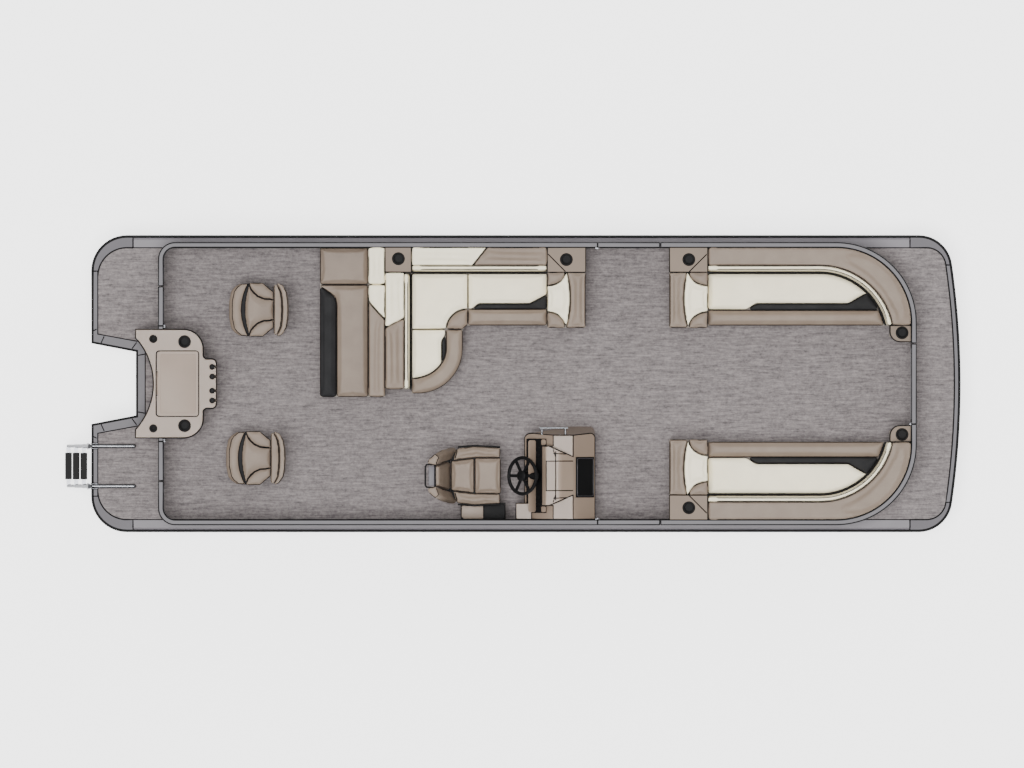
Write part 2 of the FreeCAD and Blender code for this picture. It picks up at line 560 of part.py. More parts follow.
def ring(sketch, x, y, radius):
    """Draw a circle about a point."""
    centre = V(size(x), size(y), 0)
    number = sketch.addGeometry(Part.Circle(centre, V(0, 0, 1), size(radius)), False)
    rules = spot_rules(number, 3, (x, y))
    rules.append((Sketcher.Constraint("Radius", number, size(radius)), radius))
    for place, (_, text) in zip(sketch.addConstraint([rule for rule, _ in rules]), rules):
        bind(sketch, f"Constraints[{place}]", text)


# Bodies

NODES = {}


def new_body(name):
    """A named body that becomes one node."""
    body = doc.addObject("PartDesign::Body", name)
    NODES[name] = body
    return body


def extrude(body, plane, loops, start, length, cut=False):
    """Pad or pocket loops from a level, towards the axis that the plane stands across."""
    sketch = plane_sketch(body, plane, start)
    for loop in loops:
        if loop[0] == "ring":
            ring(sketch, *loop[1:])
        else:
            outline(sketch, loop)
    kind = "Pocket" if cut else "Pad"
    before = body.Shape.Volume if cut else 0
    feature = body.newObject(f"PartDesign::{kind}", f"{body.Name}_{kind.lower()}")
    feature.Profile = sketch
    bind(feature, "Length", length)
    feature.Reversed = (plane == "XZ_Plane") != cut
    feature.Refine = True
    doc.recompute()
    if cut and body.Shape.Volume >= before:
        raise RuntimeError(f"{body.Name}: a pocket removed nothing")
    return feature


def rectangle(x_low, y_low, x_high, y_high, corner=None):
    """Four corners of a box seen square on, sharp or all rounded alike."""
    corners = [(x_low, y_low), (x_high, y_low), (x_high, y_high), (x_low, y_high)]
    if corner is not None:
        corners = [spot + (corner,) for spot in corners]
    return corners


def mirrored(name, source):
    """The other side's copy of a piece, across the centre plane."""
    copy = doc.addObject("Part::Mirroring", name)
    copy.Source = source
    copy.Normal = V(0, 1, 0)
    NODES[name] = copy
    return copy


def round_edges(body, radius, wanted):
    """Fillet the edges of a body's last feature for which wanted(edge) holds."""
    tip = body.Tip
    names = [f"Edge{i}" for i, edge in enumerate(tip.Shape.Edges, start=1) if wanted(edge)]
    if not names:
        raise RuntimeError(f"{body.Name}: no edge to round")
    fillet = body.newObject("PartDesign::Fillet", f"{body.Name}_fillet")
    fillet.Base = (tip, names)
    bind(fillet, "Radius", radius)
    doc.recompute()
    return fillet


def place(thing, x, y, z):
    """Move a body to a point given by expressions."""
    for letter, text in zip("xyz", (x, y, z)):
        bind(thing, f"Placement.Base.{letter}", text)


# Levels and lines that several pieces share

TUBE_AXIS = "(keel_height + tube_dia / 2)"
TUBE_TOP = "(keel_height + tube_dia)"
MEMBER_LOW = f"({TUBE_TOP} + riser_height)"
DECK_LOW = f"({MEMBER_LOW} + member_height)"
DECK = f"({DECK_LOW} + deck_thick)"
TRIM_TOP = f"({DECK} + trim_rise)"
TRIM_FOOT = f"({TRIM_TOP} - trim_depth)"
RAIL_LOW = f"({TRIM_TOP} + fence_gap)"
RAIL_TOP = f"({DECK} + fence_height)"
HALF_BEAM = "(beam / 2)"
SKIRT = f"({HALF_BEAM} - bead_reach)"
FENCE_OUT = f"({HALF_BEAM} - fence_inset)"
FENCE_IN = f"({FENCE_OUT} - fence_thick)"
SEAT_LOW = f"({DECK} + seat_base)"


def bow_x(inset, side):
    """How far forward the swept bow edge lies, at an inset and a distance off the centre line."""
    return f"(deck_fore - bow_radius + sqrt((bow_radius - {inset}) ^ 2 - ({side}) ^ 2))"


def bow_corner_x(inset, side):
    """Where the bow edge's end tangent meets a line off the centre line."""
    depth = f"sqrt((bow_radius - {inset}) ^ 2 - bow_cap_half ^ 2)"
    return f"({bow_x(inset, 'bow_cap_half')} - bow_cap_half / {depth} * (({side}) - bow_cap_half))"


# Flotation tubes, with nose cone, keel, lifting strakes and riser

NOSE_STEPS = [(0.30, 0.94), (0.58, 0.78), (0.80, 0.55), (0.94, 0.31), (1.0, 0.14)]


def build_tube():
    body = new_body("tube_port")
    tube = ("ring", "tube_centre", TUBE_AXIS, "tube_dia / 2")
    extrude(body, "YZ_Plane", [tube], "-tube_aft", "tube_aft + tube_straight")
    sections = []
    for along, share in [(0, 1)] + NOSE_STEPS:
        level = f"tube_straight + nose_length * {along}"
        sketch = plane_sketch(body, "YZ_Plane", level)
        rise = f"{TUBE_TOP} + nose_lift * {along} - tube_dia / 2 * {share}"
        ring(sketch, "tube_centre", rise, f"tube_dia / 2 * {share}")
        sections.append(sketch)
    doc.recompute()
    nose = body.newObject("PartDesign::AdditiveLoft", "nose_cone")
    nose.Profile = sections[0]
    nose.Sections = sections[1:]
    nose.Ruled = True
    doc.recompute()
    keel_tip = "tube_straight + nose_length * 0.3"
    keel = [
        ("-tube_aft + keel_start", "0"),
        ("tube_straight", "0"),
        (keel_tip, "keel_height + tube_dia * 0.07"),
        (keel_tip, "keel_height + tube_dia * 0.12"),
        ("-tube_aft + keel_start", "keel_height + keel_bite"),
    ]
    extrude(body, "XZ_Plane", [keel], "tube_centre - keel_width / 2", "keel_width")
    for side in (-1, 1):
        near = f"tube_centre + {side} * tube_dia * 0.41"
        far = f"tube_centre + {side} * (tube_dia * 0.41 + strake_depth * 0.9)"
        low = f"tube_centre + {side} * tube_dia * 0.30"
        strake = [
            (near, f"{TUBE_AXIS} - tube_dia * 0.2"),
            (far, f"{TUBE_AXIS} - tube_dia * 0.33"),
            (low, f"{TUBE_AXIS} - tube_dia * 0.36"),
        ]
        extrude(body, "YZ_Plane", [strake], "-tube_aft + strake_start",
                "tube_aft + tube_straight - strake_start")
    riser = [
        ("tube_centre - riser_foot / 2", f"{TUBE_AXIS} + tube_dia * 0.4"),
        ("tube_centre + riser_foot / 2", f"{TUBE_AXIS} + tube_dia * 0.4"),
        ("tube_centre + riser_head / 2", MEMBER_LOW),
        ("tube_centre - riser_head / 2", MEMBER_LOW),
    ]
    extrude(body, "YZ_Plane", [riser], "-tube_aft + riser_start",
            "tube_aft + tube_straight + riser_lead - riser_start")
    slot = rectangle("tube_centre - riser_head / 2 + riser_wall * 2", f"{TUBE_TOP} + 1",
                     "tube_centre + riser_head / 2 - riser_wall * 2",
                     f"{MEMBER_LOW} - riser_wall")
    extrude(body, "YZ_Plane", [slot], "-tube_aft", "tube_aft + tube_straight", cut=True)
    eye_x = "tube_straight + nose_length - eye_bite"
    eye_z = f"{TUBE_TOP} + nose_lift - eye_drop"
    plate = rectangle(eye_x, f"{eye_z} - eye_half", f"{eye_x} + eye_length",
                      f"{eye_z} + eye_half", "eye_round")
    hole = ("ring", f"{eye_x} + eye_reach", eye_z, "eye_radius")
    extrude(body, "XZ_Plane", [plate, hole], "tube_centre - eye_plate / 2", "eye_plate")
    mirrored("tube_starboard", body)


# Cross members, C channels under the deck

def channel(x):
    """A C section seen from the side, its web at x."""
    return [
        (x, MEMBER_LOW),
        (f"{x} + member_width", MEMBER_LOW),
        (f"{x} + member_width", f"{MEMBER_LOW} + member_wall"),
        (f"{x} + member_wall", f"{MEMBER_LOW} + member_wall"),
        (f"{x} + member_wall", f"{DECK_LOW} - member_wall"),
        (f"{x} + member_width", f"{DECK_LOW} - member_wall"),
        (f"{x} + member_width", DECK_LOW),
        (x, DECK_LOW),
    ]


def build_cross_members():
    body = new_body("cross_members")
    half = f"({SKIRT} - skirt_thick)"
    pad = extrude(body, "XZ_Plane", [channel("-member_first")], f"-{half}", f"2 * {half}")
    row = body.newObject("PartDesign::LinearPattern", "member_row")
    row.Originals = [pad]
    axis = next(f for f in body.Origin.OriginFeatures if f.Role == "X_Axis")
    row.Direction = (axis, [""])
    bind(row, "Length", "member_row")
    bind(row, "Occurrences", "member_count")
    body.Tip = row
    doc.recompute()
    for back, reach in (("bow_member_aft", "(bow_cap_half + bow_member_step)"),
                        ("bow_member_fore", "(bow_cap_half - bow_member_step)")):
        extrude(body, "XZ_Plane", [channel(f"deck_fore - {back}")], f"-{reach}",
                f"2 * {reach}")
    inner = "(notch_mouth / 2 + notch_flare)"
    for start in (f"-{half} + member_gap", inner):
        extrude(body, "XZ_Plane", [channel("-tube_aft + stern_member")], start,
                f"{half} - member_gap - {inner}")


# Motor pod with its leaning transom, under the deck between the tubes

def build_motor_pod():
    body = doc.addObject("PartDesign::Body", "motor_pod_slab")
    aft = "(deck_aft - notch_depth - pod_gap)"
    lean = "tan(transom_lean)"
    profile = [
        (f"-{aft} + {lean} * (transom_top - pod_bottom)", "pod_bottom"),
        ("-pod_keel_fore", "pod_bottom", "pod_turn"),
        ("-pod_fore", f"{MEMBER_LOW} - pod_step"),
        ("-pod_fore", MEMBER_LOW),
        (f"-{aft} + {lean} * (transom_top - {MEMBER_LOW}) + transom_thick", MEMBER_LOW),
        (f"-{aft} + transom_thick", "transom_top"),
        (f"-{aft}", "transom_top"),
    ]
    extrude(body, "XZ_Plane", [profile], "-pod_width / 2", "pod_width")
    low = size("pod_bottom") + 1
    half = size("pod_width") / 2

    def bilge(edge):
        spots = [vertex.Point for vertex in edge.Vertexes]
        level = all(spot.z < low for spot in spots)
        return level and all(abs(abs(spot.y) - half) < 1 for spot in spots)

    round_edges(body, "pod_bilge", bilge)
    drill = doc.addObject("Part::MultiFuse", "motor_bolts")
    holes = []
    for drop, span in (("bolt_edge", "bolt_top_span"),
                       ("(bolt_edge + bolt_drop)", "bolt_low_span")):
        for side in (-1, 1):
            hole = doc.addObject("Part::Cylinder", "motor_bolt")
            hole.Placement = FreeCAD.Placement(V(), FreeCAD.Rotation(V(0, 1, 0), 90))
            bind(hole, "Radius", "bolt_radius")
            bind(hole, "Height", "transom_thick + 2 * bolt_over")
            bind(hole, "Placement.Rotation.Angle", "90 - transom_lean")
            place(hole,
                  f"-{aft} + sin(transom_lean) * {drop} - cos(transom_lean) * bolt_over",
                  f"{side} * {span} / 2",
                  f"transom_top - cos(transom_lean) * {drop} - sin(transom_lean) * bolt_over")
            holes.append(hole)
    drill.Shapes = holes
    pod = doc.addObject("Part::Cut", "motor_pod_drilled")
    pod.Base = body
    pod.Tool = drill
    NODES["motor_pod"] = pod


# Deck and the trim round its edge

def deck_outline(side, stern, bow, notch, flare, round_aft, round_fore):
    """The deck's plan with every edge moved in by the trim widths given."""
    half = f"({HALF_BEAM} - {side})"
    return [
        (f"-deck_aft + {stern}", f"-(notch_mouth / 2 + {flare})"),
        (f"-deck_aft + {stern}", f"-{half}", round_aft),
        (bow_corner_x(bow, half), f"-{half}", round_fore),
        (bow_x(bow, "bow_cap_half"), "-bow_cap_half", 0, f"bow_radius - {bow}"),
        (bow_x(bow, "bow_cap_half"), "bow_cap_half"),
        (bow_corner_x(bow, half), half, round_fore),
        (f"-deck_aft + {stern}", half, round_aft),
        (f"-deck_aft + {stern}", f"notch_mouth / 2 + {flare}"),
        (f"-deck_aft + notch_depth + {notch}", f"notch_width / 2 + {notch}"),
        (f"-deck_aft + notch_depth + {notch}", f"-(notch_width / 2 + {notch})"),
    ]


def build_deck():
    body = new_body("deck")
    plan = deck_outline("side_trim", "stern_trim", "bow_trim", "notch_trim", "notch_flare",
                        "stern_radius - stern_trim", "deck_bow_round")
    extrude(body, "XY_Plane", [plan], DECK_LOW, "deck_thick")


def build_side_trims():
    body = new_body("side_trims")
    length = "bow_cap_aft + stern_cap_fore"
    for side in (-1, 1):
        profile = [
            (f"{side} * ({HALF_BEAM} - side_trim)", DECK_LOW),
            (f"{side} * ({SKIRT} - skirt_thick)", DECK_LOW),
            (f"{side} * ({SKIRT} - skirt_thick)", TRIM_FOOT),
            (f"{side} * {SKIRT}", TRIM_FOOT),
            (f"{side} * {SKIRT}", f"{TRIM_FOOT} + lip_height"),
            (f"{side} * {HALF_BEAM}", f"{TRIM_FOOT} + bumper_edge", "bumper_round"),
            (f"{side} * {HALF_BEAM}", f"{TRIM_TOP} - bumper_edge", "bumper_round"),
            (f"{side} * {SKIRT}", f"{TRIM_TOP} - lip_height"),
            (f"{side} * {SKIRT}", TRIM_TOP, "trim_corner"),
            (f"{side} * ({HALF_BEAM} - side_trim)", TRIM_TOP),
        ]
        extrude(body, "YZ_Plane", [profile], "-stern_cap_fore", length)


def trim_ring(body, web, skirt):
    """An edge trim: a flat web round the deck's edge over a skirt that hides the frame."""
    extrude(body, "XY_Plane", [web], f"{TRIM_TOP} - trim_web", "trim_web")
    extrude(body, "XY_Plane", [skirt], TRIM_FOOT, "trim_depth - trim_web")


def bow_band(inner):
    """The swept strip of the bow edge, between its caps."""
    return [
        (bow_x(inner, "bow_cap_half"), "-bow_cap_half"),
        (bow_x(0, "bow_cap_half"), "-bow_cap_half", 0, "bow_radius"),
        (bow_x(0, "bow_cap_half"), "bow_cap_half"),
        (bow_x(inner, "bow_cap_half"), "bow_cap_half", 0, f"-(bow_radius - {inner})"),
    ]


def build_bow_trim():
    body = new_body("bow_trim")
    trim_ring(body, bow_band("bow_trim"), bow_band("skirt_thick"))


def stern_cap(side, stern_inner, side_inner, inner_round):
    """A stern corner cap's plan, from the side trim round to the stern trim."""
    half = f"({HALF_BEAM} - {side_inner})"
    return [
        ("-stern_cap_fore", f"{side} * {HALF_BEAM}"),
        ("-deck_aft", f"{side} * {HALF_BEAM}", "stern_radius"),
        ("-deck_aft", f"{side} * ({HALF_BEAM} - stern_radius - cap_gap)"),
        (f"-deck_aft + {stern_inner}", f"{side} * ({HALF_BEAM} - stern_radius - cap_gap)"),
        (f"-deck_aft + {stern_inner}", f"{side} * {half}", inner_round),
        ("-stern_cap_fore", f"{side} * {half}"),
    ]


def bow_cap(side, bow_inner, side_inner, outer_round, inner_round):
    """A bow corner cap's plan, from the side trim round to the swept bow strip."""
    half = f"({HALF_BEAM} - {side_inner})"
    return [
        ("bow_cap_aft", f"{side} * {HALF_BEAM}"),
        (bow_corner_x(0, HALF_BEAM), f"{side} * {HALF_BEAM}", outer_round),
        (bow_x(0, "bow_cap_half"), f"{side} * bow_cap_half"),
        (bow_x(bow_inner, "bow_cap_half"), f"{side} * bow_cap_half"),
        (bow_corner_x(bow_inner, half), f"{side} * {half}", inner_round),
        ("bow_cap_aft", f"{side} * {half}"),
    ]


def build_corner_caps():
    body = new_body("corner_caps")
    for side in (-1, 1):
        trim_ring(
            body,
            stern_cap(side, "stern_trim", "side_trim", "stern_radius - stern_trim"),
            stern_cap(side, "skirt_thick", "skirt_thick", "stern_radius - skirt_thick"))
        trim_ring(body,
                  bow_cap(side, "bow_trim", "side_trim", "bow_corner_round",
                          "deck_bow_round"),
                  bow_cap(side, "skirt_thick", "skirt_thick", "bow_corner_round",
                          "bow_skirt_round"))


def notch_band(stern, notch, flare):
    """The stern edge and the motor notch as one strip, its inner line moved in."""
    end = f"({HALF_BEAM} - stern_radius - cap_gap)"
    return [
        ("-deck_aft", end),
        ("-deck_aft", "notch_mouth / 2"),
        ("-deck_aft + notch_depth", "notch_width / 2"),
        ("-deck_aft + notch_depth", "-notch_width / 2"),
        ("-deck_aft", "-notch_mouth / 2"),
        ("-deck_aft", f"-{end}"),
        (f"-deck_aft + {stern}", f"-{end}"),
        (f"-deck_aft + {stern}", f"-(notch_mouth / 2 + {flare})"),
        (f"-deck_aft + notch_depth + {notch}", f"-(notch_width / 2 + {notch})"),
        (f"-deck_aft + notch_depth + {notch}", f"notch_width / 2 + {notch}"),
        (f"-deck_aft + {stern}", f"notch_mouth / 2 + {flare}"),
        (f"-deck_aft + {stern}", end),
    ]


def build_stern_trim():
    body = new_body("stern_trim")
    web = notch_band("stern_trim", "notch_trim", "notch_flare")
    extrude(body, "XY_Plane", [web], f"{TRIM_TOP} - trim_web", "trim_web")
    end = f"({HALF_BEAM} - stern_radius - cap_gap)"
    for side in (-1, 1):
        skirt = [
            ("-deck_aft", f"{side} * {end}"),
            ("-deck_aft", f"{side} * notch_mouth / 2"),
            ("-deck_aft + notch_depth", f"{side} * notch_width / 2"),
            ("-deck_aft + notch_depth", f"{side} * (notch_width / 2 + skirt_thick)"),
            ("-deck_aft + skirt_thick", f"{side} * (notch_mouth / 2 + skirt_thick)"),
            ("-deck_aft + skirt_thick", f"{side} * {end}"),
        ]
        extrude(body, "XY_Plane", [skirt], TRIM_FOOT, "trim_depth - trim_web")


# Fence sections: rails and posts with a skin on their outer face

def aft_ribbon(outer, inner):
    """The aft fence's plan between two depths from its outer face."""
    end = "(stern_gate_start + stern_gate_width)"
    out_y, in_y = f"({FENCE_OUT} - {outer})", f"({FENCE_OUT} - {inner})"
    out_x, in_x = f"(-stern_fence + {outer})", f"(-stern_fence + {inner})"
    return [
        (out_x, end),
        (in_x, end),
        (in_x, in_y, f"stern_fence_radius - {inner}"),
        ("side_gate_aft", in_y),
        ("side_gate_aft", out_y),
        (out_x, out_y, f"stern_fence_radius - {outer}"),
    ]


def bow_ribbon(outer, inner):
    """The bow fence's plan between two depths from its outer face."""
    start = "(side_gate_aft + side_gate_width)"
    out_y, in_y = f"({FENCE_OUT} - {outer})", f"({FENCE_OUT} - {inner})"
    out_x, in_x = f"(bow_fence - {outer})", f"(bow_fence - {inner})"
    return [
        (start, in_y),
        (in_x, in_y, f"bow_fence_radius - {inner}"),
        (in_x, "bow_gate_half"),
        (out_x, "bow_gate_half"),
        (out_x, out_y, f"bow_fence_radius - {outer}"),
        (start, out_y),
    ]


def build_fence(end, ribbon, posts):
    """One fence section and its skin, port side, with the other side mirrored."""
    body = new_body(f"fence_{end}_port")
    whole = ribbon("0", "fence_thick")
    extrude(body, "XY_Plane", [whole], RAIL_LOW, "rail_height")
    extrude(body, "XY_Plane", [whole], f"{RAIL_TOP} - rail_height", "rail_height")
    for low_x, low_y, high_x, high_y in posts:
        post = rectangle(low_x, low_y, high_x, high_y)
        extrude(body, "XY_Plane", [post], TRIM_TOP, f"{RAIL_TOP} - {TRIM_TOP} - post_under")
    mirrored(f"fence_{end}_starboard", body)
    skin = new_body(f"skin_{end}_port")
    low = f"({RAIL_LOW} + rail_height)"
    extrude(skin, "XY_Plane", [ribbon("0", "skin_thick")], low,
            f"{RAIL_TOP} - rail_height - {low}")
    mirrored(f"skin_{end}_starboard", skin)


def side_post(x):
    """A post against the skin of a side fence, its aft edge at x."""
    return (x, FENCE_IN, f"{x} + post_width", f"{FENCE_OUT} - skin_thick")


def build_fences():
    gate_end = "(stern_gate_start + stern_gate_width)"
    bays = "((side_gate_aft + stern_fence - stern_fence_radius - post_width) / aft_bays)"
    aft_posts = [side_post(f"side_gate_aft - post_width - {bays} * {i}")
                 for i in range(int(size("aft_bays")) + 1)]
    aft_posts.append(("-stern_fence + skin_thick", gate_end,
                      "-stern_fence + fence_thick", f"{gate_end} + post_width"))
    aft_posts.append(("-stern_fence", "station_half", "-stern_fence + fence_thick",
                      "stern_gate_start"))
    build_fence("aft", aft_ribbon, aft_posts)
    start = "(side_gate_aft + side_gate_width)"
    run = f"((bow_fence - bow_fence_radius - {start}) / bow_bays)"
    bow_posts = [side_post(f"{start} + ({run} - post_width / bow_bays) * {i}")
                 for i in range(int(size("bow_bays")) + 1)]
    bow_posts.append(("bow_fence - fence_thick", "bow_gate_half",
                      "bow_fence - skin_thick", "bow_gate_half + post_width"))
    build_fence("bow", bow_ribbon, bow_posts)


# Gates, each a framed panel hung on two barrels at the fence's inner face

def knuckle(body, level, edge, bored):
    """Half a hinge: a barrel joined by a leaf to what lies at edge, with or without a bore."""
    depth = "(fence_thick + barrel_offset)"
    barrel = ("ring", "hinge_gap / 2", depth, "barrel_radius")
    leaf = [
        ("hinge_gap / 2", "fence_thick"),
        ("hinge_gap / 2", depth),
        (edge, depth),
        (edge, "fence_thick"),
    ]
    extrude(body, "XY_Plane", [barrel], level, "barrel_length")
    extrude(body, "XY_Plane", [leaf], level, "barrel_length")
    if bored:
        bore = ("ring", "hinge_gap / 2", depth, "pin_radius + pin_play")
        extrude(body, "XY_Plane", [bore], level, "barrel_length", cut=True)
        return
    pin = ("ring", "hinge_gap / 2", depth, "pin_radius")
    extrude(body, "XY_Plane", [pin], level, "2 * barrel_length")


def turned(body, x, y, angle):
    """Stand a piece drawn along +X at a post, turned about the vertical."""
    body.Placement = FreeCAD.Placement(V(), FreeCAD.Rotation(V(0, 0, 1), angle))
    place(body, x, y, "0")


def build_gate(name, width, x, y, angle, leaf="leaf_reach"):
    """A gate and its fixed knuckles, drawn along +X with the outer face at Y = 0."""
    gate = new_body(name)
    end = f"({width} - latch_gap)"
    frame = rectangle("hinge_gap", RAIL_LOW, end, RAIL_TOP)
    window = rectangle("hinge_gap + rail_height", f"{RAIL_LOW} + rail_height",
                       f"{end} - rail_height", f"{RAIL_TOP} - rail_height")
    extrude(gate, "XZ_Plane", [frame, window], "0", "fence_thick")
    extrude(gate, "XZ_Plane", [window], "0", "skin_thick")
    fixed = doc.addObject("PartDesign::Body", f"{name}_hinge")
    for height in ("hinge_low", "hinge_high"):
        level = f"{DECK} + {height}"
        knuckle(fixed, level, f"-{leaf}", bored=False)
        knuckle(gate, f"{level} + barrel_length + barrel_split", "hinge_gap + leaf_reach", bored=True)
    for body in (gate, fixed):
        turned(body, x, y, angle)
    return gate, fixed


def build_gates():
    hinges = []
    side, fixed = build_gate("gate_side_starboard", "side_gate_width",
                             "side_gate_aft", f"-{FENCE_OUT}", 0)
    hinges += [fixed, copy_across(fixed)]
    mirrored("gate_side_port", side)
    stern, fixed = build_gate("gate_stern_starboard", "stern_gate_width",
                              "-stern_fence", "-stern_gate_start", -90)
    hinges += [fixed, copy_across(fixed)]
    mirrored("gate_stern_port", stern)
    _, fixed = build_gate("gate_bow", "2 * bow_gate_half", "bow_fence", "-bow_gate_half", 90,
                          leaf="bow_leaf_reach")
    hinges.append(fixed)
    gathered("gate_hinges", hinges)


def copy_across(source):
    """A mirrored copy that isn't a node of its own."""
    copy = doc.addObject("Part::Mirroring", f"{source.Name}_across")
    copy.Source = source
    copy.Normal = V(0, 1, 0)
    return copy


def gathered(name, pieces):
    """Like pieces that stand apart, kept as one node."""
    group = doc.addObject("Part::Compound", name)
    group.Links = pieces
    NODES[name] = group
    return group


# Lounges: a moulded base with a toe recess, cushions, backs, arms and cup pods

BOW_WALL_ROUND = "(bow_fence_radius - fence_thick - wall_gap)"
BOW_BACK_MIDDLE = "(back_face - bow_back_radius)"
BOW_FOOT_RADIUS = "(bow_back_radius - (back_face - back_front))"
BOW_ARM_FORE = "(bow_arm_aft + bow_arm_length)"


def slab(body, corners, low, height):
    """Add a flat piece to a body, its plan pulled up from a level."""
    return extrude(body, "XY_Plane", [corners], low, height)


def cup_pod(name, corners, low, top, cup_x, cup_y):
    """A hard pod with a cup well in its top."""
    body = doc.addObject("PartDesign::Body", name)
    slab(body, corners, low, f"{DECK} + {top} - {low}")
    well = ("ring", cup_x, cup_y, "cup_radius")
    extrude(body, "XY_Plane", [well], f"{DECK} + {top} - cup_depth", "cup_depth", cut=True)
    return body


def curve_x(radius, y):
    """Where a bow back's curve, of a radius about its middle, crosses a line."""
    return f"(bow_back_start + sqrt(({radius}) ^ 2 - ({y} - {BOW_BACK_MIDDLE}) ^ 2))"


def build_bow_lounge():
    def plan(front, round_off=0):
        return [
            ("bow_arm_aft", f"arm_front + {front}"),
            (BOW_ARM_FORE, f"arm_front + {front}"),
            (BOW_ARM_FORE, f"lounge_front + {front}"),
            ("bow_table_aft", f"lounge_front + {front}"),
            ("bow_table_aft", f"bow_table_side + {front}", round_off),
            ("bow_wall", f"bow_table_side + {front}"),
            ("bow_wall", "lounge_wall", BOW_WALL_ROUND),
            ("bow_arm_aft", "lounge_wall"),
        ]
    base = new_body("bow_base_port")
    slab(base, plan("0", "table_round"), f"{DECK} + toe_height", "seat_base - toe_height")
    slab(base, plan("toe_depth"), DECK, "toe_height")
    seat = new_body("bow_seat_port")
    foot = f"({BOW_FOOT_RADIUS} - soft_gap)"
    slab(seat, [
        (f"{BOW_ARM_FORE} + soft_gap", "lounge_front"),
        (curve_x(foot, "lounge_front"), "lounge_front", 0, foot),
        ("bow_back_start", "back_front - soft_gap"),
        (f"{BOW_ARM_FORE} + soft_gap", "back_front - soft_gap"),
    ], SEAT_LOW, "seat_pad")
    back = new_body("bow_back_port")
    slab(back, [
        (f"{BOW_ARM_FORE} + soft_gap", "lounge_wall"),
        (f"{BOW_ARM_FORE} + soft_gap", "back_front"),
        ("bow_back_start", "back_front", 0, f"-{BOW_FOOT_RADIUS}"),
        (curve_x(BOW_FOOT_RADIUS, "lounge_front"), "lounge_front"),
        ("bow_wall", "lounge_front"),
        ("bow_wall", "lounge_wall", BOW_WALL_ROUND),
    ], SEAT_LOW, "back_top - seat_base")
    arm = new_body("bow_arm_port")
    slab(arm, rectangle("bow_arm_aft", "arm_front", BOW_ARM_FORE, "pod_front - soft_gap"),
         SEAT_LOW, "pod_top - seat_base")
    for name, body in (("base", base), ("seat", seat), ("back", back), ("arm", arm)):
        mirrored(f"bow_{name}_starboard", body)
    arm_pod = cup_pod("bow_arm_pod", rectangle("bow_arm_aft", "pod_front", BOW_ARM_FORE,
                                               "lounge_wall"),
                      SEAT_LOW, "pod_top", "bow_arm_cup", "arm_cup_side")
    table = cup_pod("bow_table", [
        ("bow_table_aft", "lounge_front - soft_gap"),
        ("bow_table_aft", "bow_table_side", "table_round"),
        ("bow_wall", "bow_table_side"),
        ("bow_wall", "lounge_front - soft_gap"),
    ], SEAT_LOW, "table_top", "table_cup", "table_cup_side")
    return [arm_pod, copy_across(arm_pod), table, copy_across(table)]


def build_port_lounge():
    arm_fore = "(lounge_side_fore + lounge_arm_length)"
    chamfer = "(lounge_front - lounge_leg_seam)"

    def plan(front):
        return [
            ("-lounge_aft", "-lounge_back_end"),
            ("-lounge_back_fore", "-lounge_back_end"),
            ("-lounge_back_fore", f"-lounge_leg_end + {front}"),
            (f"-lounge_leg_fore - {front}", f"-lounge_leg_end + {front}", "lounge_leg_radius"),
            (f"-lounge_leg_fore - {front}", f"lounge_leg_seam + {front}"),
            (f"-lounge_leg_fore - {front} + {chamfer}", f"lounge_front + {front}"),
            ("lounge_side_fore", f"lounge_front + {front}"),
            ("lounge_side_fore", f"arm_front + {front}"),
            (arm_fore, f"arm_front + {front}"),
            (arm_fore, "lounge_wall"),
            ("-lounge_aft", "lounge_wall"),
        ]
    base = new_body("lounge_base")
    slab(base, plan("0"), f"{DECK} + toe_height", "seat_base - toe_height")
    slab(base, plan("toe_depth"), DECK, "toe_height")
    seats = new_body("lounge_seats")
    foot = "back_front - soft_gap"
    slab(seats, [
        ("-lounge_back_fore", "lounge_leg_seam"),
        ("-lounge_leg_fore", "lounge_leg_seam"),
        (f"-lounge_leg_fore + {chamfer}", "lounge_front"),
        ("-lounge_seam", "lounge_front"),
        ("-lounge_seam", foot),
        ("-lounge_back_fore", foot),
    ], SEAT_LOW, "seat_pad")
    slab(seats, rectangle("-lounge_seam + soft_gap", "lounge_front",
                          "lounge_side_fore - soft_gap", foot), SEAT_LOW, "seat_pad")
    slab(seats, [
        ("-lounge_back_fore", "-lounge_leg_end"),
        ("-lounge_leg_fore", "-lounge_leg_end", "lounge_leg_radius"),
        ("-lounge_leg_fore", "lounge_leg_seam - soft_gap"),
        ("-lounge_back_fore", "lounge_leg_seam - soft_gap"),
    ], SEAT_LOW, "seat_pad")
    backs = new_body("lounge_backs")
    rise = "back_top - seat_base"
    slab(backs, rectangle("-lounge_aft", "-lounge_back_end", "-lounge_back_fore - soft_gap",
                          "pod_front - soft_gap"), SEAT_LOW, rise)
    slab(backs, rectangle("-lounge_back_fore", "back_front", "lounge_side_fore - soft_gap",
                          "lounge_wall"), SEAT_LOW, rise)
    arm = new_body("lounge_arm")
    slab(arm, rectangle("lounge_side_fore", "arm_front", arm_fore, "pod_front - soft_gap"),
         SEAT_LOW, "pod_top - seat_base")
    corner = cup_pod("lounge_corner_pod",
                     rectangle("-lounge_aft", "pod_front", "-lounge_back_fore - soft_gap",
                               "lounge_wall"),
                     SEAT_LOW, "back_top", "-lounge_cup", "lounge_cup_side")
    forward = cup_pod("lounge_arm_pod",
                      rectangle("lounge_side_fore", "pod_front", arm_fore, "lounge_wall"),
                      SEAT_LOW, "pod_top", "forward_cup", "arm_cup_side")
    return [corner, forward]


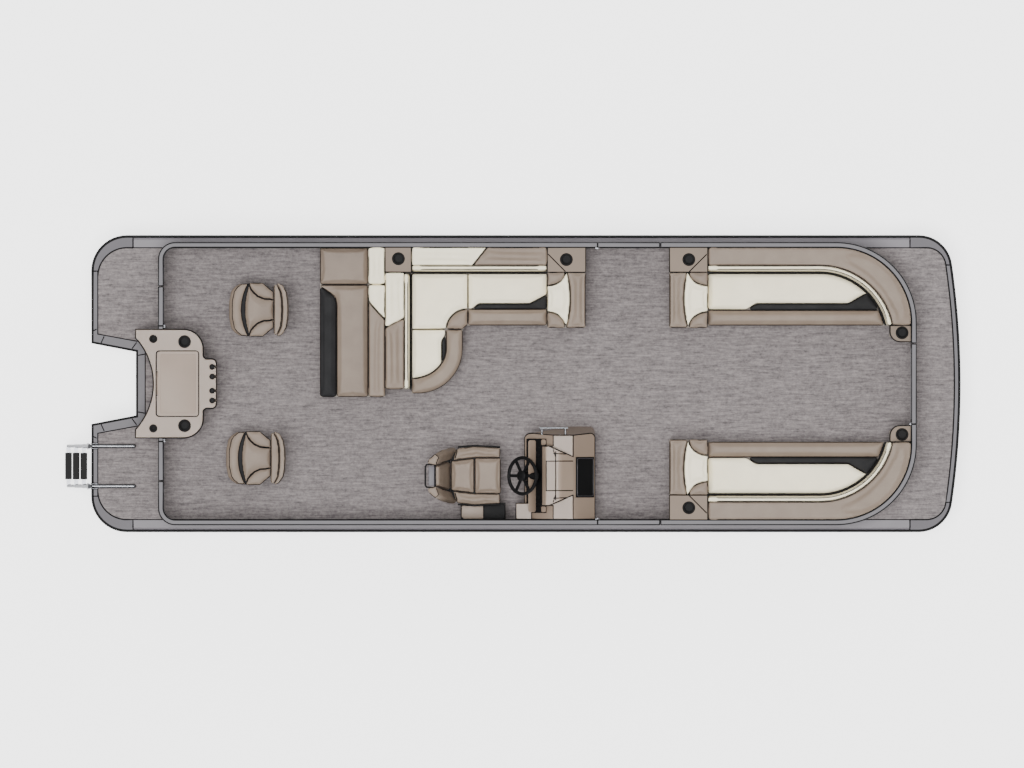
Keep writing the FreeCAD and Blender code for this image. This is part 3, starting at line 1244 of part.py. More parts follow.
def build_aft_bench():
    back = "(lounge_aft + soft_gap)"
    base = new_body("bench_base")
    slab(base, rectangle("-bench_aft", "-bench_end", f"-{back}", "lounge_wall"),
         f"{DECK} + toe_height", "seat_base - toe_height")
    slab(base, rectangle("-bench_aft + toe_depth", "-bench_end + toe_depth", f"-{back}",
                         "lounge_wall"), DECK, "toe_height")
    seats = new_body("bench_seats")
    backs = new_body("bench_backs")
    split = f"-{back} - bench_back"
    for low, high in (("-bench_end", "bench_split"), ("bench_split + soft_gap", "lounge_wall")):
        slab(seats, rectangle("-bench_aft", low, f"{split} - soft_gap", high),
             SEAT_LOW, "seat_pad")
        slab(backs, rectangle(split, low, f"-{back}", high), SEAT_LOW, "back_top - seat_base")


# Helm: console, dash, wheel, column, grab rail and side box

def build_console():
    body = new_body("console")
    top = f"({DECK} + console_top)"
    width = "console_outer - console_inner"
    slope = "(console_top - console_knee)"
    extrude(body, "XZ_Plane", [[
        ("console_aft", DECK),
        ("console_fore", DECK),
        ("console_fore", f"{DECK} + console_brow"),
        ("console_break", top),
        (f"console_aft + {slope}", top),
        ("console_aft", f"{DECK} + console_knee"),
    ]], "-console_outer", width)
    brow = f"({DECK} + console_knee - console_aft)"
    extrude(body, "XZ_Plane", [[
        ("cowl_aft + cowl_foot", f"{brow} + cowl_aft + cowl_foot"),
        (f"console_aft + {slope}", top),
        ("console_break", top),
        ("console_break - cowl_fall", f"{top} + cowl_rise", "cowl_fall_round"),
        ("cowl_aft + cowl_lip", f"{top} + cowl_rise", "cowl_lip_round"),
        ("cowl_aft", f"{top} + cowl_rise * cowl_face"),
    ]], "-helm_side - cowl_half", "2 * cowl_half")
    for side in (-1, 1):
        wide = f"-helm_side + {side} * cowl_half"
        slim = f"-helm_side + {side} * cowl_tip_half"
        extrude(body, "XY_Plane", [[
            ("cowl_aft + cowl_flare", wide),
            ("console_break + cut_over", slim),
            ("console_break + cut_over", f"{wide} + {side} * cut_over"),
            ("cowl_aft + cowl_flare", f"{wide} + {side} * cut_over"),
        ]], top, "cowl_rise + 1", cut=True)
    slab(body, rectangle("side_pod_aft", "-console_outer", "console_aft + side_pod_bite",
                         "-side_pod_inner"), DECK, "side_pod_top")
    beyond = "-console_inner + cut_over"
    extrude(body, "YZ_Plane", [[
        ("-console_inner", DECK),
        (beyond, DECK),
        (beyond, top),
        ("-console_inner - console_lean", top),
    ]], "console_aft - cut_over", "console_length + 2 * cut_over", cut=True)
    extrude(body, "XY_Plane", [[
        ("console_aft", "-console_inner - console_taper"),
        ("console_aft + taper_length", "-console_inner"),
        ("console_aft", beyond),
    ]], DECK, "console_top + cowl_rise", cut=True)
    spots = (size("console_fore"), size("console_aft"))
    inboard = -size("console_inner") - size("console_lean") - 1
    upright = size("console_knee") / 2

    def corner(edge):
        ends = [vertex.Point for vertex in edge.Vertexes]
        if len(ends) < 2 or abs(ends[0].x - ends[1].x) > 0.1:
            return False
        tall = abs(ends[0].z - ends[1].z) > upright
        outer = any(abs(ends[0].x - spot) < 0.1 for spot in spots)
        return tall and outer and all(p.y > inboard for p in ends)

    round_edges(body, "console_round", corner)


def slope_plate(name, start, finish, thick, y_low, y_width):
    """A flat plate laid on a slope between two points of the side view."""
    (x_one, z_one), (x_two, z_two) = start, finish
    run, rise = f"(({x_two}) - ({x_one}))", f"(({z_two}) - ({z_one}))"
    length = f"sqrt({run} ^ 2 + {rise} ^ 2)"
    over_x, over_z = f"(-{rise} / {length} * {thick})", f"({run} / {length} * {thick})"
    body = doc.addObject("PartDesign::Body", name)
    extrude(body, "XZ_Plane", [[
        (x_one, z_one),
        (x_two, z_two),
        (f"{x_two} + {over_x}", f"{z_two} + {over_z}"),
        (f"{x_one} + {over_x}", f"{z_one} + {over_z}"),
    ]], y_low, y_width)
    return body


def wheel_placed(thing):
    """Set a piece drawn about the wheel's axis at the helm, tilted towards the seat."""
    thing.Placement = FreeCAD.Placement(V(), FreeCAD.Rotation(V(0, -1, 0), 45))
    bind(thing, "Placement.Rotation.Angle", "wheel_tilt")
    place(thing, "wheel_centre", "-helm_side", f"{DECK} + wheel_level")


def build_helm():
    brow = f"({DECK} + console_knee - console_aft)"
    bezel = slope_plate("dash_bezel", ("dash_aft", f"{brow} + dash_aft"),
                        ("cowl_aft + dash_under", f"{brow} + cowl_aft + dash_under"), "dash_depth",
                        "-helm_side - dash_half", "2 * dash_half")
    column = doc.addObject("PartDesign::Body", "column_tube")
    extrude(column, "XY_Plane", [("ring", "0", "0", "column_radius")],
            "-wheel_hub_depth / 2 - column_gap - column_length", "column_length")
    wheel_placed(column)
    whole = doc.addObject("Part::MultiFuse", "dash_whole")
    whole.Shapes = [bezel, column]
    dash = doc.addObject("Part::Cut", "dash")
    dash.Base = whole
    dash.Tool = NODES["console"]
    NODES["dash"] = dash
    run = "(console_fore - console_break)"
    fall = "(console_top - console_brow)"
    top = f"({DECK} + console_top)"
    NODES["console_panel"] = slope_plate(
        "console_panel",
        (f"console_break + {run} * panel_start", f"{top} - {fall} * panel_start"),
        (f"console_break + {run} * panel_end", f"{top} - {fall} * panel_end"),
        "panel_thick", "-helm_side - panel_outer", "panel_width")
    wheel = new_body("steering_wheel")
    extrude(wheel, "XY_Plane", [("ring", "0", "0", "wheel_hub")],
            "-wheel_hub_depth / 2", "wheel_hub_depth")
    rim_sketch = plane_sketch(wheel, "XZ_Plane", "0")
    ring(rim_sketch, "wheel_radius", "0", "wheel_rim")
    rim = wheel.newObject("PartDesign::Revolution", "wheel_rim")
    rim.Profile = rim_sketch
    rim.ReferenceAxis = (rim_sketch, ["V_Axis"])
    rim.Angle = 360
    doc.recompute()
    spoke = rectangle("wheel_hub / 2", "-spoke_width / 2", "wheel_radius", "spoke_width / 2")
    pad = extrude(wheel, "XY_Plane", [spoke], "-spoke_thick / 2", "spoke_thick")
    spokes = wheel.newObject("PartDesign::PolarPattern", "wheel_spokes")
    spokes.Originals = [pad]
    axis = next(f for f in wheel.Origin.OriginFeatures if f.Role == "Z_Axis")
    spokes.Axis = (axis, [""])
    spokes.Angle = 360
    bind(spokes, "Occurrences", "wheel_spokes")
    wheel.Tip = spokes
    doc.recompute()
    wheel_placed(wheel)
    rail = new_body("console_rail")
    level = f"{DECK} + console_top - rail_drop"
    line = "(-console_inner - rail_step)"
    extrude(rail, "YZ_Plane", [("ring", line, level, "rail_tube")],
            "console_aft + rail_start", "rail_length")
    share = "(console_top - rail_drop - rail_post) / console_top"
    face = f"(-console_inner - console_lean * {share} + rail_seat)"
    for x in ("console_aft + rail_start + rail_end",
              "console_aft + rail_start + rail_length - rail_end"):
        extrude(rail, "XZ_Plane", [("ring", x, level, "rail_post")], face, f"{line} - {face}")
    box = new_body("side_box")
    slab(box, rectangle("-side_box_aft", "-lounge_wall", "-side_box_fore",
                        "-side_box_inner"), DECK, "side_box_height")


# Chairs on round pedestals

def pedestal(name, x, y, foot, post, top):
    """A turned pedestal: a flared foot, a post and a round swivel plate."""
    body = doc.addObject("PartDesign::Body", name)
    sketch = plane_sketch(body, "XZ_Plane", "0")
    outline(sketch, [
        ("0", DECK),
        (foot, DECK),
        (foot, f"{DECK} + foot_thick * foot_edge"),
        (f"{post} + foot_collar", f"{DECK} + foot_thick + foot_crown"),
        (post, f"{DECK} + foot_thick + collar_height"),
        (post, f"{DECK} + {top} - plate_depth"),
        (f"{post} + plate_reach", f"{DECK} + {top} - plate_edge"),
        (f"{post} + plate_reach", f"{DECK} + {top} - swivel_gap"),
        ("0", f"{DECK} + {top} - swivel_gap"),
    ])
    turn = body.newObject("PartDesign::Revolution", f"{name}_turn")
    turn.Profile = sketch
    turn.ReferenceAxis = (sketch, ["V_Axis"])
    turn.Angle = 360
    doc.recompute()
    place(body, x, y, "0")
    return body


def build_helm_chair():
    seat = new_body("helm_seat")
    front = "(helm_axis - helm_front)"
    rear = "(helm_seat_aft - helm_axis)"
    low = f"{DECK} + helm_seat_low"
    slab(seat, [
        (f"-{rear}", "-helm_seat_half + helm_seat_taper"),
        ("helm_seat_bend", "-helm_arm_half"),
        (front, "-helm_arm_half", "helm_seat_round"),
        (front, "helm_arm_half", "helm_seat_round"),
        ("helm_seat_bend", "helm_arm_half"),
        (f"-{rear}", "helm_seat_half - helm_seat_taper"),
    ], low, "helm_seat_thick")
    outside = "(helm_arm_half - bolster_edge)"
    for side in (-1, 1):
        slab(seat, [
            ("0", f"{side} * ({outside} - bolster_width)"),
            ("0", f"{side} * {outside}"),
            (f"{front} - bolster_end", f"{side} * {outside}"),
            (f"{front} - bolster_end", f"{side} * ({outside} - bolster_width)"),
        ], f"{low} + helm_seat_thick", "bolster_rise")
    back = new_body("helm_back")
    foot = f"{low} + helm_back_foot"
    top = f"{DECK} + helm_back_top"
    near = f"-{rear} - soft_gap"
    extrude(back, "XZ_Plane", [[
        (near, foot),
        (f"{near} - helm_back_lean + helm_head_fore", top, "helm_head_round"),
        (f"{near} - helm_back_lean - helm_head_top", top, "helm_crown_round"),
        (f"{near} - helm_back_lean - helm_head_rear", f"{top} - helm_head_drop"),
        (f"{near} - helm_back_thick - helm_waist_reach", f"{foot} + helm_waist"),
        (f"{near} - helm_back_thick", foot),
    ]], "-helm_arm_half", "2 * helm_arm_half")
    far = f"{near} - helm_back_lean - helm_head_rear - cut_over"
    for side in (-1, 1):
        extrude(back, "XY_Plane", [[
            (f"{near} + cut_over", f"{side} * (helm_seat_half - wing_foot)"),
            (f"{near} - helm_wing", f"{side} * (helm_seat_half - wing_side)"),
            (far, f"{side} * (helm_seat_half - helm_wing - wing_tip)"),
            (far, f"{side} * (helm_arm_half + cut_over)"),
            (f"{near} + cut_over", f"{side} * (helm_arm_half + cut_over)"),
        ]], foot, f"{top} - ({foot}) + cut_over", cut=True)
    for body in (seat, back):
        place(body, "-helm_axis", "-helm_side", "0")
    return pedestal("helm_pedestal", "-helm_axis", "-helm_side", "foot_radius",
                    "post_radius", "helm_seat_low")


def build_fishing_chairs():
    posts = []
    for name, x, y in (("port", "-port_chair", "port_chair_side"),
                       ("starboard", "-starboard_chair", "-starboard_chair_side")):
        seat = new_body(f"chair_seat_{name}")
        slab(seat, [
            ("chair_seat_back", "-chair_taper"),
            ("chair_seat_back", "chair_taper"),
            ("chair_waist", "chair_half"),
            ("-chair_front + chair_nose", "chair_half", "chair_side_round"),
            ("-chair_front", "chair_half * chair_nose_share", "chair_nose_round"),
            ("-chair_front", "-chair_half * chair_nose_share", "chair_nose_round"),
            ("-chair_front + chair_nose", "-chair_half", "chair_side_round"),
            ("chair_waist", "-chair_half"),
        ], f"{DECK} + chair_low", "chair_pad")
        back = new_body(f"chair_back_{name}")
        slab(back, [
            ("chair_seat_back + soft_gap", "-chair_half", "chair_back_round"),
            ("chair_back", "-chair_half", "chair_back_corner"),
            ("chair_back", "chair_half", "chair_back_corner"),
            ("chair_seat_back + soft_gap", "chair_half", "chair_back_round"),
        ], f"{DECK} + chair_low + chair_back_low", "chair_top - chair_low - chair_back_low")
        for body in (seat, back):
            place(body, x, y, "0")
        posts.append(pedestal(f"chair_post_{name}", x, y, "chair_foot", "chair_post",
                              "chair_low"))
    return posts


# Stern station with a lidded well, cups and a tool rack

STATION_TOP = f"({DECK} + station_height)"


def build_station():
    body = new_body("station")
    bay_half = "(station_half - station_horn)"
    bay = f"(({bay_half} ^ 2 + station_bay ^ 2) / (2 * station_bay))"
    slab(body, [
        ("-station_aft", "-station_half"),
        ("-station_fore", "-station_half", "station_radius"),
        ("-station_fore", "-station_nose_half", "rack_root_round"),
        ("-station_nose", "-station_nose_half", "rack_corner_round"),
        ("-station_nose", "station_nose_half", "rack_corner_round"),
        ("-station_fore", "station_nose_half", "rack_root_round"),
        ("-station_fore", "station_half", "station_radius"),
        ("-station_aft", "station_half"),
        ("-station_aft", bay_half, 0, f"-{bay}"),
        ("-station_aft", f"-{bay_half}"),
    ], f"{DECK} + toe_height", "station_height - toe_height")
    foot_side = "(station_half - station_foot_side)"
    slab(body, rectangle("-station_aft + station_bay + station_foot_gap", f"-{foot_side}",
                         "-station_fore - toe_depth", foot_side), DECK, "toe_height")

    def sink(loop, depth):
        extrude(body, "XY_Plane", [loop], f"{STATION_TOP} - {depth}", depth, cut=True)

    sink(rectangle("-lid_aft + well_wall", "-lid_half + well_wall",
                   "-lid_aft + lid_length - well_wall", "lid_half - well_wall"), "well_depth")
    for side in (-1, 1):
        sink(("ring", "-station_cup_aft", f"{side} * station_cup_side", "cup_radius"),
             "cup_depth")
        sink(("ring", "-small_cup_aft", f"{side} * small_cup_side", "small_cup"),
             "small_cup_depth")
        for spot in ("rack_inner", "rack_outer"):
            middle = f"{side} * {spot}"
            hole = "-station_nose - rack_hole_in"
            sink(("ring", hole, middle, "rack_slot"), "rack_depth")
            sink(rectangle(hole, f"{middle} - rack_mouth / 2", "-station_nose + cut_over",
                           f"{middle} + rack_mouth / 2"), "rack_depth")
    axis_x = "(-lid_aft - lid_hinge_radius - lid_hinge_gap)"
    axis_z = f"({STATION_TOP} + lid_hinge_radius + lid_hinge_gap)"
    for side in (-1, 1):
        start = f"{side} * (lid_barrel + lid_ear + 2 * lid_ear_gap) / 2 - lid_ear / 2"
        extrude(body, "XZ_Plane", [("ring", axis_x, axis_z, "lid_hinge_radius")], start,
                "lid_ear")
        foot = rectangle(f"{axis_x} - lid_hinge_radius", STATION_TOP,
                         f"{axis_x} + lid_hinge_radius", axis_z)
        extrude(body, "XZ_Plane", [foot], start, "lid_ear")
    extrude(body, "XZ_Plane", [("ring", axis_x, axis_z, "lid_hinge_radius / 2")],
            "-lid_barrel / 2 - lid_hinge_gap", "lid_barrel + 2 * lid_hinge_gap")
    lid = new_body("station_lid")
    plate = rectangle("-lid_aft", "-lid_half", "-lid_aft + lid_length", "lid_half", "lid_round")
    slab(lid, plate, f"{STATION_TOP} + soft_gap", "lid_thick")
    leaf_low = f"{STATION_TOP} + lid_leaf_low"
    leaf = rectangle(axis_x, leaf_low, "-lid_aft + lid_leaf_in", f"{leaf_low} + lid_leaf_thick")
    barrel = ("ring", axis_x, axis_z, "lid_hinge_radius")
    extrude(lid, "XZ_Plane", [leaf], "-lid_barrel / 2", "lid_barrel")
    extrude(lid, "XZ_Plane", [barrel], "-lid_barrel / 2", "lid_barrel")
    bore = ("ring", axis_x, axis_z, "lid_hinge_radius / 2 + pin_play")
    extrude(lid, "XZ_Plane", [bore], "-lid_barrel / 2", "lid_barrel", cut=True)


# Stern ladder, leaning over the edge, on two deck rails with hinge ears

LADDER_AXIS = f"({TRIM_TOP} + grab_rise + ladder_tube + hinge_rise)"


def build_ladder():
    rails = new_body("ladder_rails")
    level = f"({TRIM_TOP} + grab_rise - ladder_tube)"
    for side in (-1, 1):
        line = f"(-ladder_side + {side} * ladder_half)"
        tube = ("ring", line, level, "ladder_tube")
        extrude(rails, "YZ_Plane", [tube], "-deck_aft", "deck_aft - grab_fore - ladder_tube")
        cap = rails.newObject("PartDesign::AdditiveSphere", "rail_end")
        bind(cap, "Radius", "ladder_tube")
        place(cap, "-grab_fore - ladder_tube", line, level)
        for x in ("-grab_fore - grab_post_fore", "-deck_aft + grab_post_aft"):
            extrude(rails, "XY_Plane", [("ring", x, line, "grab_post")], DECK, f"{level} - {DECK}")
        block = rectangle("-deck_aft", TRIM_TOP, "-deck_aft + ear_length", level)
        ear_half = "(ladder_tube + ear_side)"
        extrude(rails, "XZ_Plane", [block], f"{line} - {ear_half}", f"2 * {ear_half}")
        ear = [
            ("-deck_aft", TRIM_TOP),
            ("-deck_aft + ear_length", TRIM_TOP),
            ("-deck_aft + ear_length", f"{level} + ear_step"),
            ("-ladder_hinge + ear_reach", f"{LADDER_AXIS} + ear_reach", "ear_top_round"),
            ("-ladder_hinge - ear_reach", f"{LADDER_AXIS} + ear_reach", "ear_round"),
            ("-ladder_hinge - ear_reach", f"{LADDER_AXIS} - ear_reach", "ear_round"),
        ]
        for start in (f"{line} - {ear_half}", f"{line} + {ear_half} - ear_thick"):
            extrude(rails, "XZ_Plane", [ear], start, "ear_thick")
        pin = ("ring", "-ladder_hinge", LADDER_AXIS, "ladder_pin")
        extrude(rails, "XZ_Plane", [pin], f"{line} - {ear_half}", f"2 * {ear_half}")
    frame = doc.addObject("PartDesign::Body", "ladder_tubes")
    end = "(ladder_first + 2 * ladder_pitch + ladder_tail)"
    upper = "(ladder_first + ladder_sleeve)"
    lower = "(ladder_first + ladder_pitch + ladder_sleeve)"
    steps = [("-ladder_tube", upper, "ladder_tube"),
             (upper, lower, "ladder_tube - tube_step"),
             (lower, end, "ladder_tube - 2 * tube_step")]
    for side in (-1, 1):
        for start, finish, radius in steps:
            extrude(frame, "XY_Plane", [("ring", "0", f"{side} * ladder_half", radius)],
                    f"-({finish})", f"{finish} - ({start})")
        bore = ("ring", "0", "0", "ladder_pin + ladder_pin_play")
        extrude(frame, "XZ_Plane", [bore], f"{side} * ladder_half - ladder_tube - cut_over",
                "2 * (ladder_tube + cut_over)", cut=True)
    frame.Placement = FreeCAD.Placement(V(), FreeCAD.Rotation(V(0, 1, 0), 45))
    bind(frame, "Placement.Rotation.Angle", "ladder_lean")
    place(frame, "-ladder_hinge", "-ladder_side", LADDER_AXIS)
    rungs = doc.addObject("PartDesign::Body", "ladder_rungs")
    treads = new_body("ladder_treads")
    for count in range(3):
        reach = f"(ladder_first + ladder_pitch * {count})"
        x = f"(-ladder_hinge - sin(ladder_lean) * {reach})"
        z = f"({LADDER_AXIS} - cos(ladder_lean) * {reach})"
        line = f"({z} + rung_rise)"
        bar = rectangle(f"{x} - rung_half", f"{line} - rung_depth", f"{x} + rung_half", line)
        extrude(rungs, "XZ_Plane", [bar], "-ladder_side - ladder_half", "2 * ladder_half")
        tread = rectangle(f"{x} - tread_depth / 2", line, f"{x} + tread_depth / 2",
                          f"{line} + tread_thick")
        extrude(treads, "XZ_Plane", [tread], "-ladder_side - tread_half", "2 * tread_half")
    ladder = doc.addObject("Part::MultiFuse", "ladder")
    ladder.Shapes = [frame, rungs]
    NODES["ladder"] = ladder


doc.recompute()
build_tube()
build_cross_members()
build_motor_pod()
build_deck()
build_side_trims()
build_bow_trim()
build_corner_caps()
build_stern_trim()
build_fences()
build_gates()
pods = build_bow_lounge()
pods += build_port_lounge()
gathered("cup_pods", pods)
build_aft_bench()
build_console()
build_helm()
posts = [build_helm_chair()]
posts += build_fishing_chairs()
gathered("pedestals", posts)
build_station()
build_ladder()


def finish():
    """Check every object and piece, then write one STEP file for each node."""
    doc.recompute()
    for thing in doc.Objects:
        if "Invalid" in thing.State or "Error" in thing.State:
            raise RuntimeError(f"{thing.Name} failed: {thing.State}")
    for name, thing in NODES.items():
        if thing.Shape.isNull() or not thing.Shape.isValid() or thing.Shape.Volume <= 0:
            raise RuntimeError(f"{name} has no valid shape")
    os.makedirs("parts", exist_ok=True)
    for name, thing in NODES.items():
        thing.Label = name
        thing.Shape.exportStep(f"parts/{name}.step")


finish()
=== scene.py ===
import json
import math

import bmesh
import bpy
from mathutils import Matrix, Vector
from mathutils.bvhtree import BVHTree


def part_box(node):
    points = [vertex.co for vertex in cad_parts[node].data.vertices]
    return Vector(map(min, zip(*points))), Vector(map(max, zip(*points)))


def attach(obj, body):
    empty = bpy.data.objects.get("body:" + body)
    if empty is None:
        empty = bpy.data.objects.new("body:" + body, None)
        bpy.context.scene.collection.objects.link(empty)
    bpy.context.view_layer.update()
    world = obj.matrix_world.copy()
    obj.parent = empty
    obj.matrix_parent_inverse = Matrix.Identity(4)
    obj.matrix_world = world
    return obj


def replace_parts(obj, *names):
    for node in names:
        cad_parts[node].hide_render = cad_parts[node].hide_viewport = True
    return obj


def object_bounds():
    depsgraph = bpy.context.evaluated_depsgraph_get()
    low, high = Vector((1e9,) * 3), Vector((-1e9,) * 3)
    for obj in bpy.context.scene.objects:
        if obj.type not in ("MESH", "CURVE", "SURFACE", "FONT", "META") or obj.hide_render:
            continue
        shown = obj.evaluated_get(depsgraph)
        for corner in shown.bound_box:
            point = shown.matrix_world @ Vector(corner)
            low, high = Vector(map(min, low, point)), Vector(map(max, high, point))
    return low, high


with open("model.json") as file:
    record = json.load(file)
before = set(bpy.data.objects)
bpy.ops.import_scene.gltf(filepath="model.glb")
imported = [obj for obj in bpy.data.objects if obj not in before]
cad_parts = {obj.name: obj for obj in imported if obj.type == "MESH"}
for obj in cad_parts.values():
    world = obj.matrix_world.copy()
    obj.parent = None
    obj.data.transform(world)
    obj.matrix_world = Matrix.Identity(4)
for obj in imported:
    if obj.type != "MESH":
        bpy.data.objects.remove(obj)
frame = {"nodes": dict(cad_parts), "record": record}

# Pontoon boat dressed over its CAD frame: metres, X to the bow, Y to port, Z up.

CAD_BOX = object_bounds()
NODES = frame["nodes"]

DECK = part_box("deck")[1].z
STATION_TOP = DECK + 0.720
TABLE_TOP = DECK + 0.560
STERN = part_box("stern_trim")[0].x
_, HALF_BEAM, TRIM_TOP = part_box("side_trims")[1]
_, WALL, BACK_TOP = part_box("bow_back_port")[1]
(_, SEAT_IN, SEAT_LOW), (_, FOOT, SEAT_TOP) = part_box("bow_seat_port")
(ARM_AFT, ARM_IN, _), (ARM_FORE, ARM_OUT, ARM_TOP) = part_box("bow_arm_port")
HELM_Y = -0.807
HELM_AXIS = (-0.350, HELM_Y)
CHAIRS = (("port", -2.222, 0.648), ("starboard", -2.248, -0.653))
SIDES = (("port", 1), ("starboard", -1))

# Base colours, darker than they look under the bright studio light
CREAM = (243, 234, 206)
TAN = (118, 104, 91)
DARK = (35, 35, 36)
BLACK = (12, 12, 13)
GREY = (102, 98, 103)
# Trim grey darkened for the bow and stern trims: painted shade, since the fences shade only the
# side trims; the rails share this grey
DIMMED_TRIM_GREY = (76, 73, 78)
CAP = (67, 63, 69)
GELCOAT = (131, 115, 101)
LID = (135, 119, 105)
SKIN = (72, 70, 74)
WEAVE_LOW = (86, 81, 82)
WEAVE_HIGH = (142, 135, 134)


def linear(colour):
    """A colour of the screen, 0 to 255, as the shader wants it."""
    parts = [part / 255 for part in colour]
    return [p / 12.92 if p <= 0.04045 else ((p + 0.055) / 1.055) ** 2.4 for p in parts] + [1]


# Materials

def add_node(tree, kind, links=(), **values):
    """A shader node with its values set and its inputs linked."""
    node = tree.nodes.new(kind)
    for name, value in values.items():
        if hasattr(node, name):
            setattr(node, name, value)
        else:
            node.inputs[name.replace("_", " ")].default_value = value
    for socket, source in links:
        tree.links.new(source, node.inputs[socket])
    return node


def plain_material(name, colour, rough, metal=0.0, coat=0.0, specular=0.4):
    """A principled material of one colour."""
    made = bpy.data.materials.new(name)
    made.use_nodes = True
    shader = made.node_tree.nodes["Principled BSDF"]
    shader.inputs["Base Color"].default_value = linear(colour)
    shader.inputs["Roughness"].default_value = rough
    shader.inputs["Metallic"].default_value = metal
    shader.inputs["Coat Weight"].default_value = coat
    shader.inputs["Specular IOR Level"].default_value = specular
    return made


def place_of(tree, stretch=(1, 1, 1)):
    """The object's own coordinates in metres, stretched."""
    spot = add_node(tree, "ShaderNodeTexCoord")
    return add_node(tree, "ShaderNodeMapping", [("Vector", spot.outputs["Object"])],
                    Scale=stretch).outputs["Vector"]


def noise_of(tree, stretch, **values):
    """A noise over the object's own coordinates."""
    return add_node(tree, "ShaderNodeTexNoise", [("Vector", place_of(tree, stretch))],
                    **values).outputs["Fac"]


def tint(tree, amount, low, high, ends=(0.3, 0.7)):
    """Run the base colour from low to high as an amount rises between two ends."""
    ramp = add_node(tree, "ShaderNodeValToRGB", [("Fac", amount)])
    for stop, end, colour in zip(ramp.color_ramp.elements, ends, (low, high)):
        stop.position = end
        stop.color = linear(colour)
    tree.links.new(ramp.outputs["Color"], tree.nodes["Principled BSDF"].inputs["Base Color"])


def vary(made, colour, spread, scale, stretch=(1, 1, 1)):
    """Let a noise move the base colour a little either way."""
    tree = made.node_tree
    tint(tree, noise_of(tree, stretch, Scale=scale, Detail=4.0),
         [max(0, part - spread) for part in colour], [min(255, part + spread) for part in colour])


def bump(made, height, strength, distance):
    """Raise a surface by a height socket."""
    tree = made.node_tree
    raised = add_node(tree, "ShaderNodeBump", [("Height", height)],
                      Strength=strength, Distance=distance)
    tree.links.new(raised.outputs["Normal"], tree.nodes["Principled BSDF"].inputs["Normal"])


def grain(made, scale, strength, distance=0.0008, stretch=(1, 1, 1)):
    """A fine noise bump."""
    bump(made, noise_of(made.node_tree, stretch, Scale=scale, Detail=3.0), strength, distance)


def vinyl(name, colour, specular=0.4, rough=0.56):
    """Marine vinyl: soft sheen, pebbled grain and slight handling marks."""
    made = plain_material(name, colour, rough, specular=specular)
    vary(made, colour, spread=4, scale=7.0)
    tree = made.node_tree
    cells = add_node(tree, "ShaderNodeTexVoronoi", [("Vector", place_of(tree))], Scale=420.0)
    bump(made, cells.outputs["Distance"], strength=0.25, distance=0.0006)
    return made


def deck_weave():
    """Woven vinyl: mottled grey with streaks along the boat and a crossed weave."""
    made = plain_material("deck_weave", (112, 108, 108), 0.85, specular=0.2)
    tree = made.node_tree
    streaks = noise_of(tree, (7.0, 62.0, 7.0), Scale=1.0, Detail=6.0, Roughness=0.7)
    mottle = noise_of(tree, (34.0, 42.0, 34.0), Scale=1.0, Detail=6.0, Roughness=0.8)
    mixed = add_node(tree, "ShaderNodeMath", [(0, streaks), (1, mottle)], operation="ADD")
    halved = add_node(tree, "ShaderNodeMath", [(0, mixed.outputs["Value"])],
                      operation="MULTIPLY")
    halved.inputs[1].default_value = 0.5
    tint(tree, halved.outputs["Value"], WEAVE_LOW, WEAVE_HIGH, (0.38, 0.62))
    bands = []
    for direction in ("X", "Y"):
        wave = add_node(tree, "ShaderNodeTexWave", [("Vector", place_of(tree))],
                        bands_direction=direction, Scale=70.0, Distortion=1.5)
        bands.append(wave.outputs["Fac"])
    weave = add_node(tree, "ShaderNodeMath", [(0, bands[0]), (1, bands[1])],
                     operation="MULTIPLY")
    bump(made, weave.outputs["Value"], strength=0.5, distance=0.0015)
    return made


def brushed(name, colour, rough, stretch):
    """Metal with fine brushing across a direction."""
    made = plain_material(name, colour, rough, metal=1.0)
    vary(made, colour, spread=8, scale=30.0, stretch=stretch)
    grain(made, scale=60.0, strength=0.12, distance=0.0005, stretch=stretch)
    return made


def moulded(name, colour, rough, coat=0.0, texture=500.0, depth=0.12, specular=0.4):
    """Moulded plastic or gel coat with a light grain."""
    made = plain_material(name, colour, rough, coat=coat, specular=specular)
    vary(made, colour, spread=3, scale=3.0)
    grain(made, texture, depth)
    return made


# Name, maker, and the maker's own values
RECIPES = (
    ("trim_grey", moulded, GREY, 0.5, 0.0, 300.0, 0.05),
    ("end_grey", moulded, DIMMED_TRIM_GREY, 0.5, 0.0, 300.0, 0.05),
    ("cap_grey", moulded, CAP, 0.5, 0.0, 420.0, 0.15),
    ("rail_grey", moulded, DIMMED_TRIM_GREY, 0.48, 0.0, 300.0, 0.05),
    ("skin_panel", moulded, SKIN, 0.42, 0.15, 6.0, 0.02),
    ("tube_metal", brushed, (126, 128, 132), 0.42, (1.0, 22.0, 22.0)),
    ("frame_metal", brushed, (146, 148, 152), 0.45, (1.0, 12.0, 1.0)),
    ("pedestal_metal", brushed, (150, 152, 155), 0.3, (9.0, 9.0, 1.0)),
    ("steel", brushed, (104, 105, 108), 0.36, (2.0, 2.0, 2.0)),
    ("base_plastic", moulded, (122, 113, 104), 0.55, 0.0, 260.0, 0.25),
    ("pod_plastic", moulded, TAN, 0.6, 0.0, 380.0, 0.12, 0.3),
    ("cream_vinyl", vinyl, CREAM),
    ("tan_vinyl", vinyl, TAN),
    # Dark vinyl of the accent panels, also used for the painted shade strips at the foot of the
    # backs
    ("dark_vinyl", vinyl, DARK, 0.12, 0.72),
    ("console_plastic", moulded, GELCOAT, 0.5, 0.05, 4.0, 0.02),
    ("station_plastic", moulded, GELCOAT, 0.52, 0.05, 5.0, 0.03),
    ("lid_plastic", moulded, LID, 0.5, 0.0, 240.0, 0.12),
    ("black_plastic", moulded, BLACK, 0.6, 0.0, 600.0, 0.2, 0.15),
    ("welt", moulded, (22, 20, 19), 0.7, 0.0, 500.0, 0.1, 0.1),
    ("rubber", moulded, (10, 10, 11), 0.7, 0.0, 200.0, 0.15, 0.15),
)
MATERIALS = {"deck_vinyl": deck_weave()}
for title, make, *values in RECIPES:
    MATERIALS[title] = make(title, *values)


